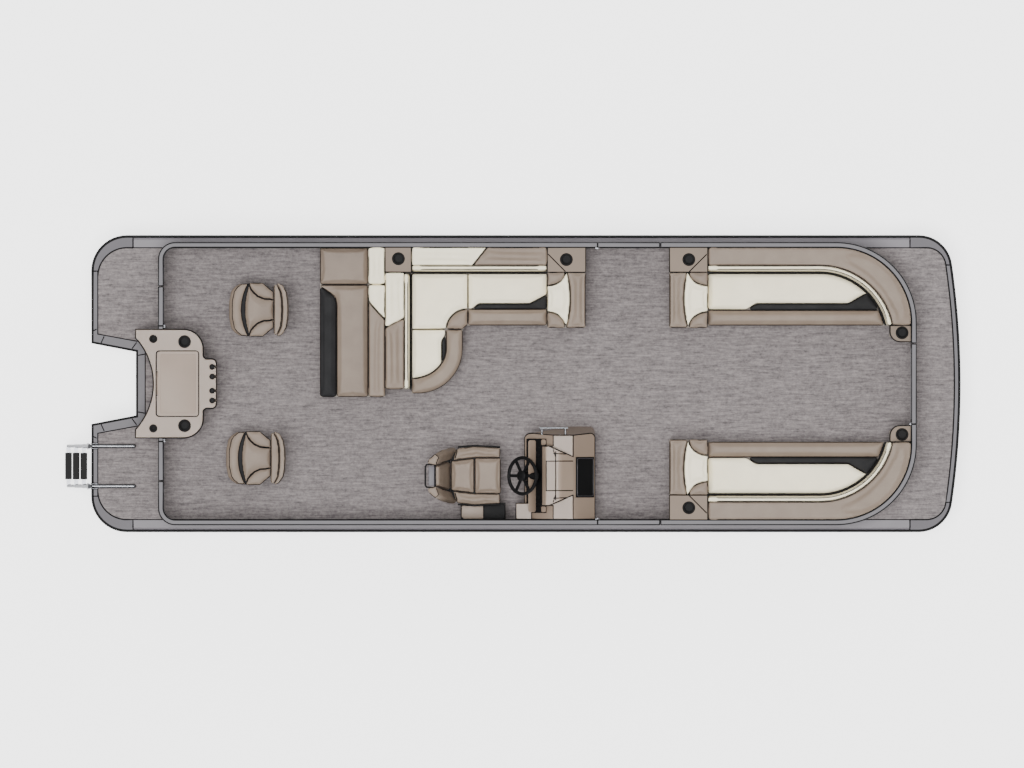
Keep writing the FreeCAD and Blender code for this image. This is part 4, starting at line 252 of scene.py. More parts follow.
def dress_nodes():
    """Give every CAD node the material of its slot, but the bow and stern trims a darker copy of
    the trim grey as painted shade, matching the side trims that the fences shade.
    """
    slots = {part["node"]: part["material_slot"] for part in frame["record"]["subparts"]}
    for name, node in NODES.items():
        node.data.materials.clear()
        # The end trims' darker grey is painted shade
        ends = name in ("bow_trim", "stern_trim")
        node.data.materials.append(MATERIALS["end_grey" if ends else slots[name]])


def dress(piece, material, body="hull"):
    """Finish a new piece: its material and the body that it rides on."""
    piece.data.materials.clear()
    piece.data.materials.append(MATERIALS[material])
    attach(piece, body)
    return piece


def link_object(name, data):
    """A new object of the scene."""
    piece = bpy.data.objects.new(name, data)
    bpy.context.scene.collection.objects.link(piece)
    return piece


def link_mesh(name, work):
    """Turn a bmesh into an object of the scene."""
    bmesh.ops.recalc_face_normals(work, faces=work.faces)
    mesh = bpy.data.meshes.new(name)
    work.to_mesh(mesh)
    work.free()
    return link_object(name, mesh)


def smooth(piece, degrees=40):
    """Shade smooth apart from the edges sharper than an angle."""
    for face in piece.data.polygons:
        face.use_smooth = True
    piece.data.set_sharp_from_angle(angle=math.radians(degrees))
    return piece


def bake(piece):
    """Put what the modifiers make into the mesh itself."""
    graph = bpy.context.evaluated_depsgraph_get()
    made = bpy.data.meshes.new_from_object(piece.evaluated_get(graph))
    piece.modifiers.clear()
    piece.data = made


# Outlines in plan

def arc(x, y, rx, ry, start, finish, steps=14):
    """Points of an ellipse's arc, angles in degrees."""
    turns = [math.radians(start + (finish - start) * i / steps) for i in range(steps + 1)]
    return [(x + rx * math.cos(a), y + ry * math.sin(a)) for a in turns]


def rect(x_low, y_low, x_high, y_high):
    return [(x_low, y_low), (x_high, y_low), (x_high, y_high), (x_low, y_high)]


def rounded(x_low, y_low, x_high, y_high, radius):
    """A rectangle with round corners."""
    west, east = x_low + radius, x_high - radius
    south, north = y_low + radius, y_high - radius
    points = []
    for x, y, turn in ((east, north, 0), (west, north, 90), (west, south, 180),
                       (east, south, 270)):
        points += arc(x, y, radius, radius, turn, turn + 90, 5)
    return points


def bowed(start, finish, bulge, steps=10):
    """Points of a shallow curve between two points, pushed left of travel by bulge."""
    (x0, y0), (x1, y1) = start, finish
    length = math.hypot(x1 - x0, y1 - y0)
    left = (-(y1 - y0) / length, (x1 - x0) / length)
    points = []
    for i in range(steps + 1):
        t = i / steps
        lift = 4 * bulge * t * (1 - t)
        points.append((x0 + (x1 - x0) * t + left[0] * lift, y0 + (y1 - y0) * t + left[1] * lift))
    return points


def across(points, side):
    """The same outline on the other side of the boat for side -1."""
    return [(x, y * side) for x, y in points]


def mirrored(half):
    """Half an outline and its mirror image across Y 0."""
    return half + across(half[::-1], -1)


def shifted(points, x, y):
    return [(px + x, py + y) for px, py in points]


# Cushions, made as closed forms that a short cloth simulation lets swell

PADS = []
SWELL_UP = 0.010
SWELL_SIDE = 0.0035
EASE = 0.003
PIPING_IN = 0.0025
PIPING = 0.0042
MITRE_LIMIT = 0.35
HELD_DEPTH = 0.012
CLOTH_STEPS = 12


def inset(points, distance):
    """Move each corner of an outline inwards."""
    area = sum(a[0] * b[1] - b[0] * a[1] for a, b in zip(points, points[1:] + points[:1]))
    turn = 1 if area > 0 else -1
    moved = []
    for before, spot, after in zip(points[-1:] + points[:-1], points, points[1:] + points[:1]):
        one = Vector((spot[0] - before[0], spot[1] - before[1])).normalized()
        two = Vector((after[0] - spot[0], after[1] - spot[1])).normalized()
        normal = Vector((-(one.y + two.y), one.x + two.x))
        if normal.length < 1e-6:
            moved.append(spot)
            continue
        normal.normalize()
        reach = distance / max(MITRE_LIMIT, abs(normal.dot(Vector((-one.y, one.x)))))
        moved.append((spot[0] + normal.x * reach * turn, spot[1] + normal.y * reach * turn))
    return moved


def pad(name, sections, fabric, body="hull", voxel=0.010, soften=6, ease=EASE, piped=True):
    """A cushion through outlines at rising levels: [(level, outline), ...]."""
    work = bmesh.new()
    rings = []
    for level, points in sections:
        rings.append([work.verts.new((x, y, level)) for x, y in inset(points, ease)])
    for low, high in zip(rings, rings[1:]):
        for i in range(len(low)):
            j = (i + 1) % len(low)
            work.faces.new((low[i], low[j], high[j], high[i]))
    work.faces.new(rings[0][::-1])
    work.faces.new(rings[-1])
    piece = link_mesh(name, work)
    remesh = piece.modifiers.new("Remesh", "REMESH")
    remesh.mode = "VOXEL"
    remesh.voxel_size = voxel
    eased = piece.modifiers.new("Soften", "SMOOTH")
    eased.factor = 0.5
    eased.iterations = soften
    bake(piece)
    rim = inset(sections[-1][1], ease + PIPING_IN) if piped else None
    PADS.append((piece, fabric, body, rim))
    return piece


def block(name, outline, low, high, fabric, body="hull", **options):
    """A cushion with straight sides."""
    return pad(name, [(low, outline), (high, outline)], fabric, body, **options)


def blocks(pattern, parts, low, high, **options):
    """Cushions with straight sides: [(part, outline, fabric), ...], part in the name's {}."""
    return [block(pattern.format(part), points, low, high, fabric, **options)
            for part, points, fabric in parts]


def simulate():
    """Let every cushion swell against its seams, held down where it rests on its base."""
    scene = bpy.context.scene
    rest = {}
    for piece, _, _, _ in PADS:
        rest[piece.name] = [vertex.co.copy() for vertex in piece.data.vertices]
        held = piece.vertex_groups.new(name="held")
        lowest = min(spot.z for spot in rest[piece.name])
        base = [i for i, spot in enumerate(rest[piece.name]) if spot.z < lowest + HELD_DEPTH]
        held.add(base, 1.0, "REPLACE")
        cloth = piece.modifiers.new("Cloth", "CLOTH")
        cloth.settings.quality = 3
        cloth.settings.use_pressure = True
        cloth.settings.uniform_pressure_force = 4.0
        cloth.settings.effector_weights.gravity = 0.0
        cloth.settings.vertex_group_mass = "held"
        cloth.point_cache.frame_start = 1
        cloth.point_cache.frame_end = CLOTH_STEPS + 2
    for moment in range(1, CLOTH_STEPS + 1):
        scene.frame_set(moment)
    graph = bpy.context.evaluated_depsgraph_get()
    for piece, _, _, _ in PADS:
        moved = [vertex.co.copy() for vertex in piece.evaluated_get(graph).data.vertices]
        piece.modifiers.clear()
        piece.vertex_groups.clear()
        for vertex, start, end in zip(piece.data.vertices, rest[piece.name], moved):
            step = end - start
            side = math.hypot(step.x, step.y)
            if side > SWELL_SIDE:
                step.x *= SWELL_SIDE / side
                step.y *= SWELL_SIDE / side
            step.z = max(-SWELL_SIDE, min(SWELL_UP, step.z))
            vertex.co = start + step
    scene.frame_set(1)


def finish_pads():
    simulate()
    for piece, fabric, body, _ in PADS:
        for face in piece.data.polygons:
            face.use_smooth = True
        dress(piece, fabric, body)


# Bow lounges, with a hair's gap between pieces that would touch

HAIR = 0.001
BOW_AFT = ARM_FORE + HAIR
BOW_BAND = 1.503
BORDER = 0.646
BOW_TURN = (2.697, 0.386)
FACE_OUT = 1.034
FACE_GAP = 0.014
FACE_TOP = BACK_TOP - 0.06
FENCE_TURN = (2.841, 0.535)
FENCE_ROUND = 0.658

# An arm's top: size of its corner panels, and ends and bulge of the band beside them
CORNER_SHARE = 0.78
CORNER_IN, CORNER_OUT = 0.138, 0.118
BAND_IN, BAND_OUT = 0.040, 0.033
BAND_BULGE = 0.034


def turn_angle(radius, y):
    """The angle at which the bow curve of a radius reaches a line, in degrees."""
    return math.degrees(math.asin((y - BOW_TURN[1]) / radius))


def bow_strip(inner, outer, end):
    """A band of the bow back between two distances from the centre line."""
    low, high = inner - BOW_TURN[1], outer - BOW_TURN[1]
    near = arc(*BOW_TURN, low, low, 90, turn_angle(low, end), 20)
    far = arc(*BOW_TURN, high, high, turn_angle(high, end), 90, 20)
    return [(BOW_AFT, inner)] + near + far + [(BOW_AFT, outer)]


def bow_roll():
    """The top of the bow back, from its face out to the fence."""
    low = FACE_OUT - BOW_TURN[1]
    near = arc(*BOW_TURN, low, low, 90, turn_angle(low, SEAT_IN), 20)
    far = arc(*FENCE_TURN, FENCE_ROUND, FENCE_ROUND, 0, 90, 20)
    edge = FENCE_TURN[0] + FENCE_ROUND
    return [(BOW_AFT, FACE_OUT)] + near + [(edge, SEAT_IN)] + far + [(BOW_AFT, WALL)]


def build_arm(name, edge, back, band_x, side):
    """An arm's cream band, its tan side at back, and two tan corners at edge."""
    away = math.copysign(1, edge - back)
    wide = (edge - band_x) * CORNER_SHARE
    low = arc(edge, ARM_IN, wide, CORNER_IN, 180, 90)
    high = arc(edge, ARM_OUT, wide, CORNER_OUT, 270, 180)
    curve = bowed((band_x + BAND_OUT * away, ARM_OUT), (band_x + BAND_IN * away, ARM_IN),
                  -BAND_BULGE * away)
    parts = [("band", curve + low + high, "cream_vinyl"),
             ("side", [(back, ARM_OUT), (back, ARM_IN)] + curve[::-1], "tan_vinyl"),
             ("corner_in", low + [(edge, ARM_IN)], "tan_vinyl"),
             ("corner_out", high + [(edge, ARM_OUT)], "tan_vinyl")]
    parts = [(part, across(points, side), fabric) for part, points, fabric in parts]
    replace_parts(blocks(name + "_{}", parts, SEAT_LOW, ARM_TOP, voxel=0.009)[0], name)


def back_face(name, low, high):
    """The cream face of a back, from its outline at the seat to the one near its top."""
    return pad(name, [(SEAT_TOP, low), (FACE_TOP, high)], "cream_vinyl", soften=2)


def painted_shade_roll(name, outline):
    """A dark roll where a back meets its seat: painted shade, a strip standing in for the shadow
    at the foot of the back's face.
    """
    return block(name, outline, SEAT_TOP, SEAT_TOP + 0.05, "dark_vinyl", voxel=0.005, soften=2,
                 ease=0.0008)


def build_bow_lounge(word, side):
    build_arm(f"bow_arm_{word}", ARM_FORE, ARM_AFT, BOW_BAND, side)
    foot = FOOT - BOW_TURN[1]
    accent_end = 0.794
    accent = [(2.056, BORDER), (2.140, 0.700), (2.948, 0.700), (3.113, accent_end)]
    at_inner, at_border, meet = (turn_angle(foot, y) for y in (SEAT_IN, BORDER, accent_end))
    cream = [(BOW_AFT, BORDER)] + accent + arc(*BOW_TURN, foot, foot, meet, 90)
    cream.append((BOW_AFT, FOOT))
    dark = accent + arc(*BOW_TURN, foot, foot, meet, at_border, 6)
    tan = [(BOW_AFT, SEAT_IN)] + arc(*BOW_TURN, foot, foot, at_inner, at_border, 4)
    tan.append((BOW_AFT, BORDER))
    parts = [("main", across(cream, side), "cream_vinyl"),
             ("accent", across(dark, side), "dark_vinyl"),
             ("border", across(tan, side), "tan_vinyl")]
    seats = blocks("bow_seat_{}_" + word, parts, SEAT_LOW, SEAT_TOP, voxel=0.012, soften=4)
    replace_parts(seats[0], f"bow_seat_{word}")
    roll = block(f"bow_back_roll_{word}", across(bow_roll(), side), SEAT_LOW, BACK_TOP,
                 "tan_vinyl", voxel=0.013, soften=4)
    back_face(f"bow_back_face_{word}",
              across(bow_strip(FOOT + FACE_GAP, FACE_OUT, SEAT_IN), side),
              across(bow_strip(FOOT + 2 * FACE_GAP, FACE_OUT, SEAT_IN), side))
    # Dark strip at the foot of the back's face: painted shade
    painted_shade_roll(f"bow_back_foot_shade_{word}",
              across(bow_strip(FOOT + HAIR, FOOT + FACE_GAP + 2 * HAIR, SEAT_IN), side))
    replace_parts(roll, f"bow_back_{word}")


# L-shaped port lounge

BACK_AFT, BACK_END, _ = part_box("lounge_backs")[0]
BACK_FORE = -0.943
SEAT_AFT, LEG_END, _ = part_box("lounge_seats")[0]
LEG_FORE = -0.431
SEAM = -0.387
SIDE_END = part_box("lounge_arm")[0].x
SIDE_BORDER = 0.655
LEG_SEAM = 0.476
INNER_TURN = (-0.391, 0.468, 0.187)
LEG_ROUND = 0.394
# Centre and radii of the leg's round seam, and where its dark wedge starts
LEG_TURN = (SEAT_AFT, 0.306, 0.303, 0.306 - 0.046)
WEDGE_TURN = -28.6
LOUNGE_BAND = 0.512
AFT_CUT = [(BACK_AFT, 0.490), (BACK_FORE, 0.575)]
SIDE_CUT = [(-0.345, FACE_OUT), (-0.220, WALL)]


def build_port_lounge():
    build_arm("lounge_arm", SIDE_END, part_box("lounge_arm")[1].x, LOUNGE_BAND, 1)
    x, y, radius = INNER_TURN
    inner = arc(x, y, radius, radius, 177, 90)
    chamfer = SEAT_IN - LEG_SEAM
    corner_cream = [(SEAT_AFT, LEG_SEAM)] + inner + [(SEAM, y + radius), (SEAM, FOOT),
                                                     (SEAT_AFT, FOOT)]
    corner_tan = inner[::-1] + [(LEG_FORE, LEG_SEAM), (LEG_FORE + chamfer, SEAT_IN),
                                (SEAM, SEAT_IN), (SEAM, y + radius)]
    accent = [(-0.350, SIDE_BORDER), (-0.293, 0.699), (0.154, 0.699), (SIDE_END, 0.782)]
    side_cream = [(SEAM, SIDE_BORDER)] + accent + [(SIDE_END, FOOT), (SEAM, FOOT)]
    side_dark = accent + [(SIDE_END, SIDE_BORDER)]
    side_tan = rect(SEAM, SEAT_IN, SIDE_END, SIDE_BORDER)
    leg_top = LEG_SEAM - HAIR
    leg_x = SEAT_AFT + LEG_TURN[2]
    wedge = [(-0.616, 0.372), (-0.584, 0.425)]
    leg_cream = [(SEAT_AFT, leg_top)] + arc(*LEG_TURN, WEDGE_TURN, -90)[::-1] + wedge
    leg_cream.append((leg_x, leg_top))
    leg_dark = arc(*LEG_TURN, WEDGE_TURN, 0, 6) + wedge[::-1]
    outer = arc(LEG_FORE - LEG_ROUND, LEG_END + LEG_ROUND, LEG_ROUND, LEG_ROUND, 0, -90)
    leg_tan = [(leg_x, leg_top)] + arc(*LEG_TURN, 0, -90) + [(SEAT_AFT, LEG_END)]
    leg_tan += outer[::-1] + [(LEG_FORE, leg_top)]
    seats = [("corner", corner_cream, "cream_vinyl"), ("corner_border", corner_tan, "tan_vinyl"),
             ("side", side_cream, "cream_vinyl"), ("accent", side_dark, "dark_vinyl"),
             ("side_border", side_tan, "tan_vinyl"), ("leg", leg_cream, "cream_vinyl"),
             ("leg_accent", leg_dark, "dark_vinyl"), ("leg_border", leg_tan, "tan_vinyl")]
    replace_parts(blocks("lounge_seat_{}", seats, SEAT_LOW, SEAT_TOP)[0], "lounge_seats")
    backs = [("aft_cream", AFT_CUT + [(BACK_FORE, ARM_OUT), (BACK_AFT, ARM_OUT)],
              "cream_vinyl"),
             ("aft_tan", [(BACK_AFT, BACK_END), (BACK_FORE, BACK_END)] + AFT_CUT[::-1],
              "tan_vinyl"),
             ("side_cream", [(SEAT_AFT, FACE_OUT)] + SIDE_CUT + [(SEAT_AFT, WALL)],
              "cream_vinyl"),
             ("side_tan", [SIDE_CUT[0], (SIDE_END, FACE_OUT), (SIDE_END, WALL), SIDE_CUT[1]],
              "tan_vinyl")]
    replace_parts(blocks("lounge_back_{}", backs, SEAT_LOW, BACK_TOP)[0], "lounge_backs")
    low, high = ((rect(BACK_FORE, BACK_END, SEAT_AFT - gap, FOOT),
                  rect(SEAT_AFT, FOOT + gap, SIDE_END, FACE_OUT))
                 for gap in (FACE_GAP, 2 * FACE_GAP))
    back_face("lounge_back_face_aft", low[0], high[0])
    back_face("lounge_back_face_side", low[1], high[1])
    # Dark strips at the foot of the back faces: painted shade
    painted_shade_roll("lounge_back_foot_aft",
              rect(SEAT_AFT - FACE_GAP - HAIR, BACK_END, SEAT_AFT - HAIR, FOOT))
    painted_shade_roll("lounge_back_foot_side",
              rect(SEAT_AFT, FOOT + HAIR, SIDE_END, FOOT + FACE_GAP + HAIR))


# Aft bench, back to back with the lounge

def build_bench():
    (aft, end, _), (fore, side, _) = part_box("bench_seats")
    split = 0.867
    strip = [(aft + 0.144, end), (aft + 0.144, 0.70), (aft + 0.128, 0.765), (aft, split - 0.012)]
    tan = [strip[0], (fore, end), (fore, split), (aft, split)] + strip[:0:-1]
    seats = [("strip", [(aft, end)] + strip, "dark_vinyl"), ("inboard", tan, "tan_vinyl"),
             ("outboard", rect(aft, split + HAIR, fore, side), "tan_vinyl")]
    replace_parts(blocks("bench_seat_{}", seats, SEAT_LOW, SEAT_TOP)[0], "bench_seats")
    (aft, end, _), (fore, side, _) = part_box("bench_backs")
    cut = [(aft, 0.735), (aft + 0.022, 0.695), (fore, 0.560)]
    backs = [("tan", [(aft, end), (fore, end)] + cut[::-1], "tan_vinyl"),
             ("cream", cut + [(fore, split), (aft, split)], "cream_vinyl"),
             ("outboard", rect(aft, split + HAIR, fore, side), "cream_vinyl")]
    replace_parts(blocks("bench_back_{}", backs, SEAT_LOW, BACK_TOP)[0], "bench_backs")


# Fishing chairs, drawn round the post with the seat facing aft

CHAIR_VOXEL = 0.007
CHAIR_PAD = 0.038


def chair_panels():
    """Seat outlines round the post: bolster foot and top, centre pad, side and whole seat."""
    back, half = 0.133, 0.237
    seam = bowed((-0.088, -0.232), (-0.088, 0.232), 0.061)
    foot = mirrored([(-0.167, 0.231), (-0.215, 0.200), (-0.243, 0.165), (-0.263, 0.066)])
    top = mirrored([(-0.150, 0.229), (-0.192, 0.196), (-0.217, 0.160), (-0.236, 0.066)])
    curve = [(-0.086, 0.222), (-0.070, 0.185), (-0.045, 0.152), (-0.010, 0.120),
             (0.040, 0.098), (back, 0.088)]
    centre = bowed((-0.086, 0.222), (-0.086, -0.222), -0.038)
    centre += across(curve[1:], -1) + curve[:0:-1]
    side = curve + [(back, 0.158), (0.037, half), (-0.080, half)]
    whole = foot + [(-0.090, -half), (0.037, -half), (back, -0.158), (back, 0.158),
                    (0.037, half), (-0.090, half)]
    return foot + seam, top + seam, centre, side, whole


def build_chair(word, x, y):
    body = f"chair_{word}"
    low, high = (corner.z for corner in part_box(f"chair_seat_{word}"))
    under = high - CHAIR_PAD
    foot, top, centre, side, whole = chair_panels()
    gusset = block(f"chair_gusset_{word}", shifted(inset(whole, 0.004), x, y), low,
                   high - 0.040, "dark_vinyl", body, voxel=0.009, piped=False)
    pad(f"chair_bolster_{word}",
        [(under, shifted(foot, x, y)), (high - 0.018, shifted(foot, x, y)),
         (high, shifted(top, x, y))], "tan_vinyl", body, voxel=CHAIR_VOXEL)
    block(f"chair_centre_{word}", shifted(centre, x, y), under, high - 0.010, "tan_vinyl", body,
          voxel=CHAIR_VOXEL)
    for hand, sign in (("left", -1), ("right", 1)):
        block(f"chair_side_{hand}_{word}", shifted(across(side, sign), x, y), under, high,
              "tan_vinyl", body, voxel=CHAIR_VOXEL)
    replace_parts(gusset, f"chair_seat_{word}")
    low, high = (corner.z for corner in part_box(f"chair_back_{word}"))
    crease = [(0.156, 0.226), (0.176, 0.196), (0.194, 0.160), (0.206, 0.084), (0.209, 0.0)]
    crease += across(crease[-2::-1], -1)
    front_panel = [(0.135, -0.222), (0.137, 0.0), (0.135, 0.222)] + crease
    outer = [(0.166, 0.236), (0.208, 0.218), (0.247, 0.162), (0.260, 0.084), (0.264, 0.0)]
    rear_panel = [(cx + 0.002, cy) for cx, cy in crease[::-1]]
    rear_panel += outer + across(outer[-2::-1], -1)
    front = block(f"chair_back_front_{word}", shifted(front_panel, x, y), low, high,
                  "tan_vinyl", body, voxel=CHAIR_VOXEL)
    block(f"chair_back_rear_{word}", shifted(rear_panel, x, y), low, high - 0.012, "tan_vinyl",
          body, voxel=CHAIR_VOXEL)
    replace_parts(front, f"chair_back_{word}")
    brackets = []
    for at in (y - 0.150, y + 0.150):
        brackets.append([(x + 0.100, at, low - 0.012), (x + 0.168, at, low - 0.012),
                         (x + 0.180, at, low + 0.030)])
    tube(f"chair_back_brackets_{word}", brackets, 0.009, "steel", body)


# Helm chair, facing forward

HELM_VOXEL = 0.008
# Corners of a side wing and of the middle of the back, at the foot, the waist and the head
WING = ([(-0.128, 0.222), (-0.156, 0.252), (-0.220, 0.243), (-0.222, 0.132), (-0.172, 0.140)],
        [(-0.206, 0.212), (-0.240, 0.236), (-0.300, 0.208), (-0.312, 0.106), (-0.246, 0.124)],
        [(-0.286, 0.165), (-0.322, 0.196), (-0.384, 0.144), (-0.394, 0.106), (-0.314, 0.090)])
MIDDLE = ([(-0.187, 0.128), (-0.187, -0.128), (-0.262, -0.128), (-0.262, 0.128)],
          [(-0.240, 0.106), (-0.240, -0.106), (-0.322, -0.106), (-0.322, 0.106)],
          [(-0.286, 0.086), (-0.286, -0.086), (-0.372, -0.086), (-0.372, 0.086)])


def build_helm_chair():
    body = "helm_chair"
    (aft, _, low), (fore, _, high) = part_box("helm_seat")
    top = high - 0.046
    rear, front = aft - HELM_AXIS[0], fore - HELM_AXIS[0]
    split = 0.018
    flank = [(rear + 0.014, 0.136), (split, 0.156), (front - 0.010, 0.160),
             (front - 0.008, 0.244), (split, 0.258), (rear + 0.052, 0.236)]
    rear_pad = [(rear, -0.130), (split, -0.154), (split, 0.154), (rear, 0.130)]
    front_pad = rect(0.022, -0.158, front - 0.006, 0.158)
    seats = []
    for part, points, level in (("rear", rear_pad, top - 0.006), ("front", front_pad, top),
                                ("left", flank, high - 0.010),
                                ("right", across(flank, -1), high - 0.010)):
        seats.append(block(f"helm_seat_{part}", shifted(points, *HELM_AXIS), low, level,
                           "tan_vinyl", body, voxel=HELM_VOXEL))
    under = mirrored([(rear + 0.001, -0.205), (split, -0.250), (front - 0.016, -0.236)])
    seats.append(block("helm_seat_gusset", shifted(under, *HELM_AXIS), low, top - 0.050,
                       "dark_vinyl", body, piped=False))
    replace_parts(seats[0], "helm_seat")
    foot, head = (corner.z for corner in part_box("helm_back"))
    waist = foot + 0.300
    backs = []
    for part, sections, side, end in (("centre", MIDDLE, 1, head - 0.030),
                                      ("left", WING, 1, head), ("right", WING, -1, head)):
        placed = [(level, shifted(across(points, side), *HELM_AXIS))
                  for level, points in zip((foot, waist, end), sections)]
        backs.append(pad(f"helm_back_{part}", placed, "tan_vinyl", body, voxel=HELM_VOXEL,
                         piped=part != "centre"))
    hem = [(-0.1875, -0.190), (-0.1875, 0.190), (-0.296, 0.180), (-0.296, -0.180)]
    backs.append(block("helm_back_gusset", shifted(hem, *HELM_AXIS), foot, foot + 0.040,
                       "dark_vinyl", body, voxel=HELM_VOXEL, piped=False))
    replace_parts(backs[0], "helm_back")
    grip = mirrored([(-0.322, 0.092), (-0.330, 0.103), (-0.396, 0.099), (-0.408, 0.082)])
    level = head - 0.020
    tube("helm_grip", [[(x, y, level) for x, y in shifted(grip, *HELM_AXIS)]], 0.008,
         "black_plastic", body, closed=True)
    plate = [(-0.330, 0.086), (-0.380, 0.086), (-0.380, -0.086), (-0.330, -0.086)]
    prism("helm_grip_pad", shifted(plate, *HELM_AXIS), level - 0.006, level + 0.004,
          "rail_grey", body, 0.003)
    lines = [[(-0.188, -0.128), (-0.190, 0.128)], [(-0.150, 0.140), (-0.130, 0.220)],
             [(-0.150, -0.140), (-0.130, -0.220)]]
    seams("helm_seams", surface(*backs, *seats), [shifted(line, *HELM_AXIS) for line in lines],
          PIPING, body=body)
    arm = [(rear + 0.060, 0.252), (split, 0.262), (front - 0.010, 0.250)]
    tube("helm_arm_edge", [[(x, y, high - 0.055) for x, y in
                            shifted(across(arm, side), *HELM_AXIS)] for side in (1, -1)],
         0.008, "black_plastic", body)


# Hard details

ORIGIN = [(0, 0, 0)]
TURN_STEPS = 40
RAY_START = 3.0


def push_out(work, ring, push):
    """Close a ring of vertices with a face and extrude it."""
    face = work.faces.new(ring)
    made = bmesh.ops.extrude_face_region(work, geom=[face])
    lifted = [item for item in made["geom"] if isinstance(item, bmesh.types.BMVert)]
    bmesh.ops.translate(work, verts=lifted, vec=push)


def round_edges(piece, width, segments):
    bevel = piece.modifiers.new("Bevel", "BEVEL")
    bevel.width = width
    bevel.segments = segments
    bake(piece)


def prism(name, outline, low, high, material, body="hull", round_by=0.0):
    """A flat hard piece with a plan outline."""
    work = bmesh.new()
    push_out(work, [work.verts.new((x, y, low)) for x, y in outline], (0, 0, high - low))
    piece = link_mesh(name, work)
    if round_by:
        round_edges(piece, round_by, 3)
    dress(smooth(piece), material, body)


def tube(name, lines, radius, material, body="hull", closed=False, detail=3):
    """Round bars along lists of points, as one piece."""
    curve = bpy.data.curves.new(name, "CURVE")
    curve.dimensions = "3D"
    curve.bevel_depth = radius
    curve.bevel_resolution = detail
    curve.use_fill_caps = True
    for line in lines:
        spline = curve.splines.new("POLY")
        spline.points.add(len(line) - 1)
        for point, spot in zip(spline.points, line):
            point.co = (*spot, 1)
        spline.use_cyclic_u = closed
    carrier = link_object(name, curve)
    graph = bpy.context.evaluated_depsgraph_get()
    mesh = bpy.data.meshes.new_from_object(carrier.evaluated_get(graph))
    bpy.data.objects.remove(carrier)
    return dress(smooth(link_object(name, mesh), 60), material, body)


def turned(name, profile, spots, material, body="hull"):
    """Round pieces of one profile [(radius, level), ...] at several places."""
    work = bmesh.new()
    turns = [2 * math.pi * i / TURN_STEPS for i in range(TURN_STEPS)]
    for x, y, z in spots:
        rings = []
        for radius, level in profile:
            rings.append([work.verts.new((x + radius * math.cos(a), y + radius * math.sin(a),
                                          z + level)) for a in turns])
        for low, high in zip(rings, rings[1:]):
            for i in range(TURN_STEPS):
                j = (i + 1) % TURN_STEPS
                work.faces.new((low[i], low[j], high[j], high[i]))
        work.faces.new(rings[0])
        work.faces.new(rings[-1])
    return dress(smooth(link_mesh(name, work)), material, body)


CUP_WELL = 0.045
SMALL_WELL = 25 / 45
POD_CUP_Y = 1.087


def cup_liner(scale=1.0):
    """The profile of a black cup liner with its flange."""
    wall = CUP_WELL * scale - 0.0005
    depth = 0.083 * min(1.0, scale + 0.1)
    return [(0.002, -depth), (wall, -depth), (wall, 0.0002), (wall + 0.012, 0.0002),
            (wall + 0.012, 0.002), (wall + 0.009, 0.0035), (wall - 0.001, 0.0035),
            (wall - 0.003, 0.001), (wall - 0.003, -depth + 0.003), (0.002, -depth + 0.003)]


def build_cups():
    spots = [(-0.995, 1.094, BACK_TOP), (0.476, POD_CUP_Y, ARM_TOP)]
    for side in (1, -1):
        spots.append((1.549, side * POD_CUP_Y, ARM_TOP))
        spots.append((3.419, side * 0.446, TABLE_TOP))
        spots.append((-2.868, side * 0.368, STATION_TOP))
    turned("cup_liners", cup_liner(), spots, "black_plastic")
    small = [(-3.142, side * 0.392, STATION_TOP) for side in (1, -1)]
    turned("small_cup_liners", cup_liner(SMALL_WELL), small, "black_plastic")


# The deck's edge in plan: its corners, the bow's sweep and the motor notch
EDGE_STEPS = 12
STERN_ROUND = 0.304
BOW_CORNER = (3.5758, 1.010)
BOW_ROUND = 0.285
BOW_TIP, BOW_SWEEP, CAP_Y = 3.934, 7.290, 1.043
NOTCH_MOUTH, NOTCH_WELL, NOTCH_DEPTH = 0.360, 0.2855, 0.391
RAIL_OUT = -0.002
BEAD_IN = 0.0055


def edge_line(inset_by, level):
    """The port half of the deck's edge, from the stern's corner to the middle of the bow."""
    turn = STERN_ROUND - inset_by
    corner = arc(STERN + inset_by + turn, HALF_BEAM - inset_by - turn, turn, turn, 180, 90,
                 EDGE_STEPS)
    reach = BOW_SWEEP - inset_by
    swept = []
    for i in range(EDGE_STEPS + 1):
        y = CAP_Y * (1 - i / EDGE_STEPS)
        swept.append((BOW_TIP - BOW_SWEEP + math.sqrt(reach ** 2 - y ** 2), y))
    turn = BOW_ROUND - inset_by
    bow = arc(*BOW_CORNER, turn, turn, 90, 8, EDGE_STEPS) + swept[:1]
    return [(x, y, level) for x, y in corner + bow + swept]


def both_sides(line):
    """A port line joined to its starboard mirror."""
    return [(x, -y, z) for x, y, z in line] + line[::-1]


